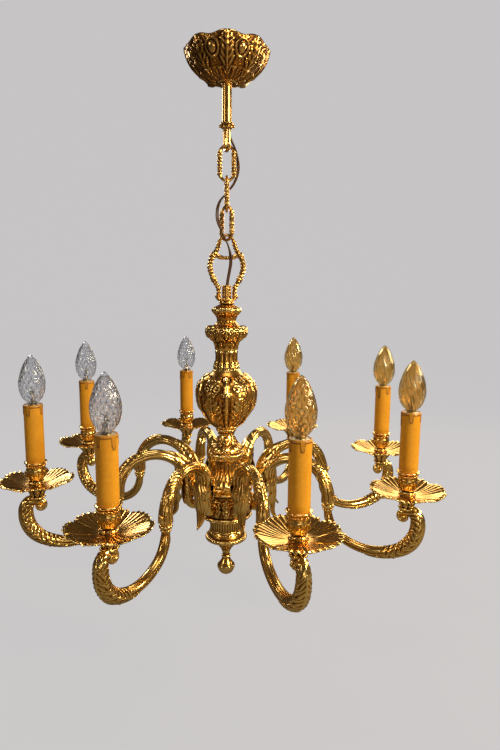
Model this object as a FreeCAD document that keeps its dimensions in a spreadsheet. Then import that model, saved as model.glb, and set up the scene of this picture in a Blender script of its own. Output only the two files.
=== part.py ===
import FreeCAD, Part
import math
import os
import re
import Sketcher

# An eight-light cast-brass chandelier on a three-link chain, as a parametric document.
# Its frame: origin on the axis in the ceiling plane, +Z up, lengths in millimetres. The column hangs down -Z, and
# the arms stand around it every 45 degrees. Every body is drawn in a frame of its own and placed from its neighbour.

Vector = FreeCAD.Vector
doc = FreeCAD.newDocument("chandelier")

# Driving dimensions, in millimetres and degrees.
size = {
    # fits and walls
    "runningGap": 0.1, "seatGap": 0.05, "contactGap": 0.3, "castWall": 3, "sheetWall": 1.5,
    # ceiling bracket: a strap pressed down in the middle, with two screw holes
    "strapLength": 92, "strapWidth": 22, "strapThickness": 2.5, "strapDrop": 13, "strapMiddle": 46,
    "screwSpacing": 70, "screwHoleRadius": 2.5,
    # hanging tube with its nuts and terminal block
    "stemRadius": 7, "stemBore": 3.3, "stemLength": 83.5, "spigotRadius": 5, "spigotLength": 15,
    "nutRadius": 7.6, "nutHeight": 5, "terminalWidth": 12, "terminalLength": 20, "terminalHeight": 12,
    "terminalScrew": 1.8,
    # canopy and its grip screw
    "canopyDrop": 1, "canopyRadius": 59, "canopyHeight": 50, "canopyFoot": 14.5, "canopyGrip": 8,
    "gripScrewRadius": 2,
    # suspension eye and chain
    "eyeCollarRadius": 9.1, "eyeCollarHeight": 7, "eyeDrop": 38.6, "eyeWidth": 22, "eyeWire": 3, "eyeTurn": 110,
    "linkLength": 54, "linkWidth": 26, "linkWire": 2.5, "linkTurn": 135, "slantGap": 1.5, "bowGap": 1.9,
    # lyre-shaped bow above the column, with a bar across it, two ball feet and a base ring
    "bowWire": 3, "bowHeight": 98.4, "bowWidth": 52, "bowNeck": 30, "bowBarLevel": 33, "bowFoot": 23,
    "bowRing": 13, "bowRingHeight": 3, "bowBall": 4,
    # turned pieces of the column, from the top down
    "cupRadius": 7.4, "cupWall": 1.6, "cupHeight": 21,
    "crownHeight": 75, "crownTop": 11.2, "crownUpper": 21.6, "crownNeck": 13.7, "crownLower": 31.6, "crownFoot": 17.5,
    "fluteHeight": 30, "fluteRadius": 16.5, "fluteFoot": 19.4,
    "vaseHeight": 92, "vaseShoulder": 39, "vaseRadius": 47.3, "vaseFoot": 16,
    "collarHeight": 12, "collarRadius": 14.6, "collarFoot": 11.1,
    "bellHeight": 35, "bellTop": 11.9, "bellRadius": 27, "bellFoot": 23.5,
    "flareHeight": 51.7, "flareTop": 22.7, "flareNeck": 15.5, "flareFoot": 26,
    "drumRadius": 41, "drumHeight": 45,
    "basketHeight": 25, "basketRadius": 26.7, "basketFoot": 24.3,
    "dishHeight": 37.7, "dishRadius": 32.7, "dishRim": 27.6, "dishFoot": 6.6,
    "finialHeight": 41, "finialRadius": 14.7, "finialNeck": 5.3,
    # tube that ties the column together, its nuts and the wire connectors in the drum
    "rodRadius": 4, "rodBore": 2.8, "rodAboveRing": 8, "rodNutRadius": 7, "rodNutHeight": 4,
    "connectorWidth": 10, "connectorLength": 22, "connectorHeight": 14, "connectorReach": 9, "connectorScrew": 1.5,
    # arms
    "armCount": 8, "firstArm": -73.3, "ringRadius": 283, "armLevel": 22.3, "armRadius": 7.5, "armBore": 3,
    "tenonRadius": 4.5, "tenonLength": 11, "armNutHeight": 4, "footBend": 12, "footReach": 21, "archRadius": 54,
    "archRise": 32, "dropLength": 16, "cornerRadius": 45, "cornerTurn": 60, "tipRise": 4, "tipRadius": 16,
    "ferruleRadius": 10.5, "ferruleLength": 12, "voluteRadius": 8.5, "voluteReach": 3, "voluteDrop": 11,
    "leafWidth": 12, "calyxHeight": 26, "calyxOverlap": 6, "calyxRadius": 16, "calyxFoot": 8.5,
    # drip pan, candle cup, sleeve, nipple and lampholder
    "panRadius": 52, "panDepth": 11, "panSeat": 15,
    "candleCupHeight": 34.5, "candleCupLip": 2, "candleCupFoot": 11, "sleeveSeat": 3,
    "sleeveRadius": 12.9, "sleeveWall": 1.2, "sleeveLength": 85,
    "nippleRadius": 5, "nippleBore": 3.2, "nippleBelow": 16, "nippleAbove": 44,
    "holderRadius": 11.6, "holderSocket": 27.5, "holderThread": 8, "holderBelowSleeve": 1,
    # flame-shaped lamp with an E14 cap
    "capRadius": 6.9, "capLength": 22, "capTipRadius": 3, "capTipLength": 3, "glassRadius": 17.5,
    "glassLength": 70, "glassWall": 1,
    # wiring
    "flexRadius": 2.4, "wireRunRadius": 2,
}

sheet = doc.addObject("Spreadsheet::Sheet", "Sizes")
for row, (name, number) in enumerate(size.items(), start=1):
    sheet.set(f"A{row}", name)
    sheet.set(f"B{row}", str(number))
    sheet.setAlias(f"B{row}", name)
doc.recompute()


def bound(text):
    """A formula in the names above, as an expression that reads the sheet's cells."""
    return re.sub(r"[A-Za-z_]\w*", lambda word: f"Sizes.{word[0]}" if word[0] in size else word[0], text)


def value(text):
    return float(sheet.evalExpression(bound(text)))


def new_body(name):
    body = doc.addObject("PartDesign::Body", name)
    body.Label = name
    body.AllowCompound = True
    return body


def origin_feature(body, role):
    return next(feature for feature in body.Origin.OriginFeatures if feature.Role == role)


def sketch_on(body, role, name, lift="0"):
    sketch = body.newObject("Sketcher::SketchObject", name)
    sketch.AttachmentSupport = (origin_feature(body, role), [""])
    sketch.MapMode = "FlatFace"
    if lift != "0":
        sketch.setExpression("AttachmentOffset.Base.z", f"({bound(lift)}) * 1 mm")
    return sketch


def pin_point(sketch, geometry, end, across, up):
    """Fixes one end of a piece of geometry at a place given by two formulas."""
    for kind, formula, axis in (("DistanceX", across, -2), ("DistanceY", up, -1)):
        if formula == "0":
            sketch.addConstraint(Sketcher.Constraint("PointOnObject", geometry, end, axis))
        else:
            index = sketch.addConstraint(Sketcher.Constraint(kind, -1, 1, geometry, end, value(formula)))
            sketch.setExpression(f"Constraints[{index}]", bound(formula))


def closed_outline(sketch, corners):
    """A closed outline of (across, up, bulge) corners. The bulge is the tangent of a quarter of the arc's turn to
    the next corner: positive swells to the left of the way there, negative to the right, and 0 is straight."""
    total = len(corners)
    pieces = []
    for index, (across, up, bulge) in enumerate(corners):
        far_across, far_up, _ = corners[(index + 1) % total]
        start = Vector(value(across), value(up), 0)
        end = Vector(value(far_across), value(far_up), 0)
        if bulge == 0:
            pieces.append((sketch.addGeometry(Part.LineSegment(start, end)), 1, 2))
            continue
        chord = end - start
        left = Vector(-chord.y, chord.x, 0)
        middle = (start + end) * 0.5 + left * (bulge / 2)
        first, last = (2, 1) if bulge > 0 else (1, 2)
        arc = sketch.addGeometry(Part.Arc(end, middle, start) if bulge > 0 else Part.Arc(start, middle, end))
        pieces.append((arc, first, last))
        radius = f"sqrt((({far_across}) - ({across}))^2 + (({far_up}) - ({up}))^2) * {(1 + bulge ** 2) / abs(4 * bulge)}"
        place = sketch.addConstraint(Sketcher.Constraint("Radius", arc, value(radius)))
        sketch.setExpression(f"Constraints[{place}]", bound(radius))
    for index, (geometry, first, last) in enumerate(pieces):
        following, start, _ = pieces[(index + 1) % total]
        sketch.addConstraint(Sketcher.Constraint("Coincident", geometry, last, following, start))
        pin_point(sketch, geometry, first, *corners[index][:2])


def turned(name, corners, axis_at="0", body=None):
    """A body turned from a closed outline about a vertical axis that stands axis_at from the origin."""
    body = body or new_body(name)
    sketch = sketch_on(body, "XZ_Plane", f"{name}_outline")
    closed_outline(sketch, [(f"{axis_at} + {across}", up, bulge) for across, up, bulge in corners])
    turn = body.newObject("PartDesign::Revolution", f"{name}_turned")
    turn.Profile = sketch
    turn.Angle = 360
    if axis_at == "0":
        turn.ReferenceAxis = (sketch, ["V_Axis"])
    else:
        low = Vector(value(axis_at), 0, 0)
        line = sketch.addGeometry(Part.LineSegment(low, low + Vector(0, 10, 0)), True)
        pin_point(sketch, line, 1, axis_at, "0")
        sketch.addConstraint(Sketcher.Constraint("Vertical", line))
        turn.ReferenceAxis = (sketch, ["Axis0"])
    body.Tip = turn
    return body


def shell(name, corners, bore, wall="castWall"):
    """A hollow casting: the outer corners run from the top down, and the wall and end plates follow them."""
    foot = corners[-1][1]
    levels = [f"0 - {wall}"] + [up for _, up, _ in corners[1:-1]] + [f"{foot} + {wall}"]
    bulges = [0] + [-bulge for _, _, bulge in corners[:-1]]
    inside = [(f"{corner[0]} - {wall}", level, bulge) for corner, level, bulge in zip(corners, levels, bulges)]
    plates = [(bore, foot, 0), (bore, f"{foot} + {wall}", 0)], [(bore, f"0 - {wall}", 0), (bore, "0", 0)]
    return turned(name, corners + plates[0] + inside[::-1] + plates[1])


def around(body, features, count="armCount"):
    """Repeats features around the column's axis, and leaves a group of separate solids."""
    pattern = body.newObject("PartDesign::PolarPattern", f"{body.Name}_ring")
    pattern.Originals = features
    pattern.Axis = (origin_feature(body, "Z_Axis"), [""])
    pattern.Angle = 360
    pattern.setExpression("Occurrences", bound(count))
    body.Tip = pattern
    return pattern


def place(body, up, beside=None, turn=None, across=None):
    """Sets a body's height (a formula, counted from another body's origin if one is named), turn and offset."""
    height = f"({bound(up)}) * 1 mm"
    if beside is not None:
        height = f"{beside.Name}.Placement.Base.z + {height}"
    body.setExpression("Placement.Base.z", height)
    if turn is not None:
        body.setExpression("Placement.Rotation.Angle", f"({bound(turn)}) * 1 deg")
    if across is not None:
        body.setExpression("Placement.Base.x", f"({bound(across)}) * cos({bound(turn)}) * 1 mm")
        body.setExpression("Placement.Base.y", f"({bound(across)}) * sin({bound(turn)}) * 1 mm")


def pocket_through(body, role, name, circles, lift="0", depth=None, flipped=False):
    """Drills round holes, each (across, up, radius), and checks that they remove material."""
    doc.recompute()
    before = body.Shape.Volume
    sketch = sketch_on(body, role, f"{name}_sketch", lift)
    for across, up, radius in circles:
        ring = sketch.addGeometry(Part.Circle(Vector(value(across), value(up), 0), Vector(0, 0, 1), value(radius)))
        pin_point(sketch, ring, 3, across, up)
        index = sketch.addConstraint(Sketcher.Constraint("Radius", ring, value(radius)))
        sketch.setExpression(f"Constraints[{index}]", bound(radius))
    cut = body.newObject("PartDesign::Pocket", name)
    cut.Profile = sketch
    cut.Reversed = flipped
    if depth is None:
        cut.Midplane = True
        cut.Type = "ThroughAll"
    else:
        cut.setExpression("Length", bound(depth))
    body.Tip = cut
    doc.recompute()
    if body.Shape.Volume > before - 1:
        raise ValueError(f"{name} cuts nothing")
    return cut


def pad_outline(body, name, role, corners, length, lift="0", midplane=True):
    sketch = sketch_on(body, role, f"{name}_sketch", lift)
    closed_outline(sketch, corners)
    pad = body.newObject("PartDesign::Pad", name)
    pad.Profile = sketch
    pad.Midplane = midplane
    pad.setExpression("Length", bound(length))
    body.Tip = pad
    return pad


def hexagon(radius):
    """Corners of a hexagon whose corner radius is given."""
    return [(f"({radius}) * cos({60 * corner})", f"({radius}) * sin({60 * corner})", 0) for corner in range(6)]


def pad_disc(body, name, role, radius, length, centre=("0", "0"), lift="0"):
    """A round bar that grows along the plane's normal, from a height above that plane."""
    sketch = sketch_on(body, role, f"{name}_sketch", lift)
    disc = sketch.addGeometry(Part.Circle(Vector(value(centre[0]), value(centre[1]), 0), Vector(0, 0, 1), value(radius)))
    pin_point(sketch, disc, 3, *centre)
    index = sketch.addConstraint(Sketcher.Constraint("Radius", disc, value(radius)))
    sketch.setExpression(f"Constraints[{index}]", bound(radius))
    pad = body.newObject("PartDesign::Pad", name)
    pad.Profile = sketch
    pad.setExpression("Length", bound(length))
    body.Tip = pad
    return pad


def rounded_spine(body, name, corners):
    """A sketch of straight runs joined by tangent arcs, in the body's XZ plane, through corners given by formulas."""
    sketch = sketch_on(body, "XZ_Plane", name)
    wire, _ = smooth_path([(value(across), value(up), 0) for across, up in corners])
    for edge in wire.Edges:
        low, high = edge.ParameterRange
        start, middle, end = (edge.valueAt(place) for place in (low, (low + high) / 2, high))
        if edge.Curve.TypeId == "Part::GeomLine":
            sketch.addGeometry(Part.LineSegment(start, end))
        elif (middle - start).cross(end - middle).z > 0:
            sketch.addGeometry(Part.Arc(start, middle, end))
        else:
            sketch.addGeometry(Part.Arc(end, middle, start))
    for index in range(len(wire.Edges) - 1):
        sketch.addConstraint(Sketcher.Constraint("Coincident", index, near_end(sketch, index, index + 1),
                                                 index + 1, near_end(sketch, index + 1, index)))
    for index in range(len(wire.Edges)):
        sketch.addConstraint(Sketcher.Constraint("Block", index))
    return sketch


def pipe(body, name, spine, radius, start, role="YZ_Plane", lift="0", cut=False):
    """Sweeps a round section along a spine sketch; start is the section's place in its own plane."""
    section = sketch_on(body, role, f"{name}_section", lift)
    centre = Vector(value(start[0]), value(start[1]), 0)
    ring = section.addGeometry(Part.Circle(centre, Vector(0, 0, 1), value(radius)))
    pin_point(section, ring, 3, *start)
    index = section.addConstraint(Sketcher.Constraint("Radius", ring, value(radius)))
    section.setExpression(f"Constraints[{index}]", bound(radius))
    sweep = body.newObject("PartDesign::SubtractivePipe" if cut else "PartDesign::AdditivePipe", name)
    sweep.Profile = section
    sweep.Spine = (spine, [])
    body.Tip = sweep
    return sweep


def near_end(sketch, index, other):
    """Which end of one piece of geometry lies on an end of another: 1 for its start, 2 for its end."""
    piece, neighbour = sketch.Geometry[index], sketch.Geometry[other]
    gaps = {end: min((point - tip).Length for tip in (neighbour.StartPoint, neighbour.EndPoint))
            for end, point in ((1, piece.StartPoint), (2, piece.EndPoint))}
    return min(gaps, key=gaps.get)


def smooth_path(points):
    """Straight runs joined by tangent arcs, each as large as its two runs allow. Returns the wire and the radii."""
    points = [Vector(*point) for point in points]
    edges, radii = [], []
    cursor = points[0]
    for before, corner, after in zip(points, points[1:], points[2:]):
        into, out = (corner - before), (after - corner)
        turn = into.getAngle(out)
        setback = 0.45 * min(into.Length, out.Length)
        radii.append(setback / math.tan(turn / 2))
        into.normalize()
        out.normalize()
        start, end = corner - into * setback, corner + out * setback
        bisector = (out - into)
        bisector.normalize()
        rise = radii[-1] / math.cos(turn / 2) - radii[-1]
        edges.append(Part.LineSegment(cursor, start).toShape())
        edges.append(Part.Arc(start, corner + bisector * rise, end).toShape())
        cursor = end
    edges.append(Part.LineSegment(cursor, points[-1]).toShape())
    return Part.Wire(edges), radii


def tube_along(wire, radius):
    """A round tube along a wire of runs and arcs, with its volume held against section times length."""
    start = wire.Edges[0]
    heading = start.tangentAt(start.FirstParameter)
    section = Part.Wire([Part.Circle(start.valueAt(start.FirstParameter), heading, radius).toShape()])
    tube = wire.makePipeShell([section], True, True)
    expected = math.pi * radius ** 2 * wire.Length
    if abs(tube.Volume - expected) > 0.01 * expected:
        raise ValueError("a tube's volume does not match its section times its length")
    return tube


def set_feature(name, shape):
    feature = doc.addObject("Part::Feature", name)
    feature.Label = name
    feature.Shape = shape
    return feature


# The ceiling bracket and what is screwed to it.
half = "strapLength / 2"
middle = "strapMiddle / 2"
under = "(0 - strapDrop - strapThickness)"
bracket = new_body("ceiling_bracket")
pad_outline(bracket, "strap", "XZ_Plane", [
    (f"0 - {half}", "0", 0), (f"0 - {half}", "0 - strapThickness", 0),
    (f"0 - {middle} - strapThickness", "0 - strapThickness", 0), (f"0 - {middle}", under, 0), (middle, under, 0),
    (f"{middle} + strapThickness", "0 - strapThickness", 0), (half, "0 - strapThickness", 0), (half, "0", 0),
    (middle, "0", 0), (f"{middle} - strapThickness", "0 - strapDrop", 0),
    (f"0 - {middle} + strapThickness", "0 - strapDrop", 0), (f"0 - {middle}", "0", 0)], "strapWidth")
pocket_through(bracket, "XY_Plane", "fixing_holes", [
    ("screwSpacing / 2", "0", "screwHoleRadius"), ("0 - screwSpacing / 2", "0", "screwHoleRadius"),
    ("0", "0", "spigotRadius + runningGap")])

nuts = new_body("bracket_nuts")
for label, lift in (("upper_nut", "0 - strapDrop"), ("lower_nut", f"{under} - nutHeight")):
    pad_outline(nuts, label, "XY_Plane", hexagon("nutRadius"), "nutHeight", lift, midplane=False)
pocket_through(nuts, "XY_Plane", "nut_threads", [("0", "0", "spigotRadius + seatGap")])

block = new_body("terminal_block")
near = "nutRadius + 2"
far = f"{near} + terminalWidth"
pad_outline(block, "block", "XZ_Plane", [
    (near, under, 0), (near, f"{under} - terminalHeight", 0), (far, f"{under} - terminalHeight", 0),
    (far, under, 0)], "terminalLength")
pocket_through(block, "XY_Plane", "terminal_screws", [
    (f"{near} + terminalWidth / 2", f"{step} * terminalLength", "terminalScrew") for step in (-0.3, 0, 0.3)],
    f"{under} - terminalHeight", "terminalHeight / 2", True)

shoulder = "(0 - spigotLength)"
stem_end = "(0 - spigotLength - stemLength)"
stem = turned("stem_tube", [
    ("stemBore", "0", 0), ("stemBore", f"{stem_end} - eyeCollarHeight / 2", 0),
    ("spigotRadius", f"{stem_end} - eyeCollarHeight / 2", 0), ("spigotRadius", stem_end, 0),
    ("stemRadius", stem_end, 0), ("stemRadius", shoulder, 0), ("spigotRadius", shoulder, 0), ("spigotRadius", "0", 0)])
place(stem, f"{under} - nutHeight + spigotLength")

canopy_foot = "(0 - canopyHeight)"
canopy = turned("canopy", [
    ("canopyRadius - castWall", "0", 0), ("canopyRadius", "0", 0.36), ("canopyFoot", canopy_foot, 0),
    ("stemRadius + runningGap", canopy_foot, 0), ("stemRadius + runningGap", f"{canopy_foot} + canopyGrip", 0),
    ("canopyFoot - 2", f"{canopy_foot} + canopyGrip", -0.36)])
grip_level = f"{canopy_foot} + canopyGrip / 2"
pocket_through(canopy, "XZ_Plane", "grip_screw_hole", [("0", grip_level, "gripScrewRadius + seatGap")], "0",
               "canopyRadius", False)
place(canopy, "0 - canopyDrop")

grip_screw = new_body("canopy_grip_screw")
pad_disc(grip_screw, "grip_shank", "XZ_Plane", "gripScrewRadius", "canopyFoot - stemRadius", ("0", grip_level),
         "0 - canopyFoot - contactGap")
place(grip_screw, "0", beside=canopy)


def oval_spine(body, name, length, width):
    """The centre line of a link: straight sides and round ends, standing on the origin."""
    sketch = sketch_on(body, "XZ_Plane", name)
    radius = value(f"({width}) / 2")
    tall = value(length)
    low = [Vector(-radius, radius, 0), Vector(0, 0, 0), Vector(radius, radius, 0)]
    high = [Vector(radius, tall - radius, 0), Vector(0, tall, 0), Vector(-radius, tall - radius, 0)]
    left = sketch.addGeometry(Part.LineSegment(high[2], low[0]))
    low_end = sketch.addGeometry(Part.Arc(*low))
    right = sketch.addGeometry(Part.LineSegment(low[2], high[0]))
    high_end = sketch.addGeometry(Part.Arc(*high))
    for line, arc, line_end, arc_end in ((left, low_end, 2, 1), (right, low_end, 1, 2),
                                         (right, high_end, 2, 1), (left, high_end, 1, 2)):
        sketch.addConstraint(Sketcher.Constraint("Tangent", line, line_end, arc, arc_end))
    pin_point(sketch, low_end, 3, "0", f"({width}) / 2")
    pin_point(sketch, high_end, 3, "0", f"({length}) - ({width}) / 2")
    index = sketch.addConstraint(Sketcher.Constraint("Radius", low_end, radius))
    sketch.setExpression(f"Constraints[{index}]", bound(f"({width}) / 2"))
    return sketch


def closed_link(name, length, width, wire):
    """A closed loop of round wire in its own XZ plane, with the lower wire's centre at the origin."""
    body = new_body(name)
    spine = oval_spine(body, f"{name}_line", length, width)
    pipe(body, f"{name}_wire", spine, wire, (f"0 - ({width}) / 2", "0"), "XY_Plane", f"({length}) - ({width}) / 2")
    return body


# The eye at the stem's foot, three links, and the bow that hangs from them.
eye = closed_link("suspension_eye", "eyeDrop - eyeCollarHeight + 1", "eyeWidth - 2 * eyeWire", "eyeWire")
collar_sketch = sketch_on(eye, "XZ_Plane", "eye_collar_outline")
closed_outline(collar_sketch, [
    ("0", "eyeDrop - eyeCollarHeight", 0), ("eyeCollarRadius", "eyeDrop - eyeCollarHeight", 0),
    ("eyeCollarRadius", "eyeDrop", 0), ("0", "eyeDrop", 0)])
eye_collar = eye.newObject("PartDesign::Revolution", "eye_collar")
eye_collar.Profile = collar_sketch
eye_collar.ReferenceAxis = (collar_sketch, ["V_Axis"])
eye_collar.Angle = 360
eye.Tip = eye_collar
pocket_through(eye, "XY_Plane", "eye_thread", [("0", "0", "spigotRadius + seatGap")], "eyeDrop", "eyeCollarHeight / 2")
pocket_through(eye, "XY_Plane", "eye_flex_hole", [("0", "0", "stemBore")], "eyeDrop", "eyeDrop / 2")
place(eye, f"{stem_end} - eyeDrop", beside=stem, turn="eyeTurn")

link_span = "(linkLength - 2 * linkWire)"
above, ring_above = eye, "eyeWire"
for number, turn, gap in ((1, "0", "contactGap"), (2, "90", "contactGap"), (3, "linkTurn", "slantGap")):
    link = closed_link(f"link_{number}", link_span, "linkWidth - 2 * linkWire", "linkWire")
    place(link, f"{ring_above} + linkWire + {gap} - {link_span}", beside=above, turn=turn)
    above, ring_above = link, "linkWire"


# The bow's line is drawn down one side and mirrored: a narrow neck, a wide belly, and feet on the base ring.
bow = new_body("hanging_bow")
foot_level = "(bowRingHeight / 2 - bowHeight)"
bow_half = [("bowNeck * 0.27", "0"), ("bowNeck * 0.47", "0 - bowBarLevel * 0.7"),
            ("bowWidth * 0.44", "0 - bowBarLevel"), ("bowWidth / 2", "0 - bowBarLevel * 1.5"),
            ("bowWidth * 0.36", "0 - bowBarLevel * 2.05"), ("bowFoot / 2", "0 - bowBarLevel * 2.4"),
            ("bowFoot / 2", foot_level)]
other_half = [(f"0 - {across}", up) for across, up in reversed(bow_half)]
bow_line = rounded_spine(bow, "bow_line", other_half + bow_half)
pipe(bow, "bow_wire", bow_line, "bowWire", ("0 - bowFoot / 2", "0"), "XY_Plane", foot_level)
bar_end = "(bowNeck * 0.62)"
bar_line = rounded_spine(bow, "bar_line", [
    (f"0 - {bar_end}", "0 - bowBarLevel * 0.87"), ("0 - bowNeck * 0.3", "0 - bowBarLevel"),
    ("bowNeck * 0.3", "0 - bowBarLevel"), (bar_end, "0 - bowBarLevel * 0.87")])
pipe(bow, "bow_bar", bar_line, "bowWire - 0.5", ("0", "0 - bowBarLevel * 0.87"), "YZ_Plane", f"0 - {bar_end}")
for side, name in (("0 - bowFoot / 2 - bowBall / 2", "left_ball"), ("bowFoot / 2 + bowBall / 2", "right_ball")):
    ball = bow.newObject("PartDesign::AdditiveSphere", name)
    ball.setExpression("Radius", bound("bowBall"))
    ball.setExpression("Placement.Base.x", f"({bound(side)}) * 1 mm")
    ball.setExpression("Placement.Base.z", f"({bound('bowBall + bowRingHeight - bowHeight')}) * 1 mm")
    bow.Tip = ball
rod_hole = "(rodRadius + seatGap)"
turned("hanging_bow_base", [
    (rod_hole, "0 - bowHeight", 0), ("bowRing", "0 - bowHeight", 0), ("bowRing", "bowRingHeight - bowHeight", 0),
    (rod_hole, "bowRingHeight - bowHeight", 0)], body=bow)
place(bow, "linkWire + bowWire + bowGap", beside=above)

cup = turned("bow_cup", [
    (rod_hole, "0", 0), ("cupRadius", "0", 0), ("cupRadius", "cupHeight", 0), ("cupRadius - cupWall", "cupHeight", 0),
    ("cupRadius - cupWall", "cupWall", 0), (rod_hole, "cupWall", 0)])
place(cup, "bowRingHeight - bowHeight", beside=bow)

# The column: hollow castings threaded on the tie rod, each hung from the one above.
column = [
    ("crown", "crownHeight", [
        ("crownTop", "0", 0.1), ("crownUpper", "0 - crownHeight * 0.18", 0.25),
        ("crownNeck", "0 - crownHeight * 0.38", -0.15), ("crownLower", "0 - crownHeight * 0.63", 0.3),
        ("crownFoot + 4", "0 - crownHeight * 0.86", -0.1), ("crownFoot", "0 - crownHeight", 0)]),
    ("fluted_neck", "fluteHeight", [
        ("crownFoot", "0", 0), ("fluteRadius", "0 - fluteHeight * 0.2", -0.1),
        ("fluteRadius", "0 - fluteHeight * 0.7", 0), ("fluteFoot", "0 - fluteHeight", 0)]),
    ("vase", "vaseHeight", [
        ("fluteFoot", "0", 0), ("vaseShoulder", "0 - vaseHeight * 0.18", 0.15),
        ("vaseRadius", "0 - vaseHeight * 0.43", 0.2), ("vaseRadius * 0.6", "0 - vaseHeight * 0.88", -0.15),
        ("vaseFoot", "0 - vaseHeight", 0)]),
    ("vase_collar", "collarHeight", [
        ("collarRadius", "0", 0.3), ("collarRadius - 1", "0 - collarHeight * 0.5", -0.2),
        ("collarFoot", "0 - collarHeight", 0)]),
    ("bell", "bellHeight", [
        ("bellTop", "0", -0.2), ("bellRadius * 0.8", "0 - bellHeight * 0.5", 0.1),
        ("bellRadius", "0 - bellHeight * 0.72", 0), ("bellFoot", "0 - bellHeight", 0)]),
    ("flare", "flareHeight", [
        ("flareTop", "0", 0.1), ("flareNeck", "0 - flareHeight * 0.4", -0.2), ("flareFoot", "0 - flareHeight", 0)]),
]
above, drop = bow, "bowHeight"
for name, height, corners in column:
    piece = shell(name, corners, rod_hole)
    place(piece, f"0 - {drop}", beside=above)
    above, drop = piece, height

# The hub: a drum that the arms' tenons pass into, with a basket, a dish and a finial below.
drum = turned("hub_drum", [
    (rod_hole, "0", 0), (rod_hole, "0 - castWall", 0), ("drumRadius - castWall", "0 - castWall", 0),
    ("drumRadius - castWall", "0 - drumHeight", 0), ("drumRadius", "0 - drumHeight", 0), ("drumRadius", "0", 0)])
arm_hole = pocket_through(drum, "YZ_Plane", "arm_hole", [("0", "0 - armLevel", "tenonRadius + seatGap")],
                          "drumRadius - castWall * 1.5", "castWall * 2", True)
around(drum, [arm_hole])
place(drum, f"0 - {drop}", beside=above, turn="firstArm")

basket = turned("basket", [
    (rod_hole, "0", 0), ("drumRadius - 1", "0", 0), ("drumRadius - 1", "0 - castWall", 0),
    ("basketRadius", "0 - castWall * 1.5", 0), ("basketFoot", "0 - basketHeight", 0), (rod_hole, "0 - basketHeight", 0),
    (rod_hole, "castWall - basketHeight", 0), ("basketFoot - castWall", "castWall - basketHeight", 0),
    ("basketRadius - castWall", "0 - castWall", 0), (rod_hole, "0 - castWall", 0)])
place(basket, "0 - drumHeight", beside=drum)
dish = turned("dish", [
    (rod_hole, "0", 0), ("basketFoot", "0", 0), ("dishRim", "0 - dishHeight * 0.2", 0.2),
    ("dishRadius", "0 - dishHeight * 0.3", 0.4), ("dishRim * 0.75", "0 - dishHeight * 0.42", -0.3),
    ("dishFoot + 2.5", "0 - dishHeight * 0.8", 0), ("dishFoot", "0 - dishHeight", 0), (rod_hole, "0 - dishHeight", 0),
    (rod_hole, "0 - dishHeight * 0.45", 0), ("basketFoot - castWall", "0 - dishHeight * 0.25", 0),
    ("basketFoot - castWall", "0 - castWall", 0), (rod_hole, "0 - castWall", 0)])
place(dish, "0 - basketHeight", beside=basket)
socket_floor = "(0 - finialHeight * 0.3)"
finial = turned("finial", [
    ("0", socket_floor, 0), (rod_hole, socket_floor, 0), (rod_hole, "0", 0), ("dishFoot", "0", -0.1),
    ("finialNeck", "0 - finialHeight * 0.15", -0.2), ("finialRadius", "0 - finialHeight * 0.62", 0.35),
    ("finialRadius * 0.35", "0 - finialHeight * 0.93", 0.1), ("0", "0 - finialHeight", 0)])
place(finial, "0 - dishHeight", beside=dish)

# The tie rod runs from the cup to the finial's socket, with nuts in the cup, the drum and the basket.
above_drum = " + ".join(height for _, height, _ in column)
rod_top = "(bowRingHeight + rodAboveRing)"
rod_foot = f"(0 - ({above_drum}) - drumHeight - basketHeight - dishHeight - finialHeight * 0.3 + contactGap)"
rod = turned("tie_rod", [("rodBore", rod_top, 0), ("rodBore", rod_foot, 0), ("rodRadius", rod_foot, 0),
                         ("rodRadius", rod_top, 0)])
place(rod, "0 - bowHeight", beside=bow)
rod_nuts = new_body("tie_rod_nuts")
for label, lift in (("drum_nut", f"0 - ({above_drum}) - castWall - rodNutHeight"),
                    ("basket_nut", f"0 - ({above_drum}) - drumHeight - castWall - rodNutHeight")):
    pad_outline(rod_nuts, label, "XY_Plane", hexagon("rodNutRadius"), "rodNutHeight", lift, midplane=False)
pocket_through(rod_nuts, "XY_Plane", "rod_threads", [("0", "0", rod_hole)])
place(rod_nuts, "0 - bowHeight", beside=bow)

connectors = new_body("wire_connectors")
for side, label in ((1, "front_block"), (-1, "rear_block")):
    near, far = f"{side} * connectorReach", f"{side} * (connectorReach + connectorWidth)"
    pad_outline(connectors, label, "XY_Plane", [
        ("0 - connectorLength / 2", near, 0), ("connectorLength / 2", near, 0), ("connectorLength / 2", far, 0),
        ("0 - connectorLength / 2", far, 0)], "connectorHeight", midplane=False)
pocket_through(connectors, "XY_Plane", "connector_screws", [
    (f"{step} * connectorLength", f"{side} * (connectorReach + connectorWidth / 2)", "connectorScrew")
    for side in (1, -1) for step in (-0.3, 0, 0.3)], "connectorHeight", "connectorHeight / 2")
place(connectors, "0 - drumHeight", beside=drum)

# Places along an arm, in the arm's own frame: X runs outward from the column and Z is counted from the tenon.
arm_start = "(drumRadius + contactGap)"
leg_at = "(drumRadius + footReach)"
arch_at = f"({leg_at} + archRadius)"
drop_at = f"({leg_at} + 2 * archRadius)"
tip_at = "(ringRadius + tipRadius)"
half_span = f"(({tip_at} - {drop_at}) / 2)"
swoop_radius = f"(({half_span} - cornerRadius) / cos(cornerTurn) + cornerRadius)"
swoop_level = "(archRise - dropLength)"
swoop_centre = f"({swoop_level} + ({swoop_radius} - cornerRadius) * sin(cornerTurn))"
tip_level = f"({swoop_level} + tipRise)"
arm_end = f"({tip_level} + tipRadius)"
calyx_top = f"({arm_end} - calyxOverlap + calyxHeight)"


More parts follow.
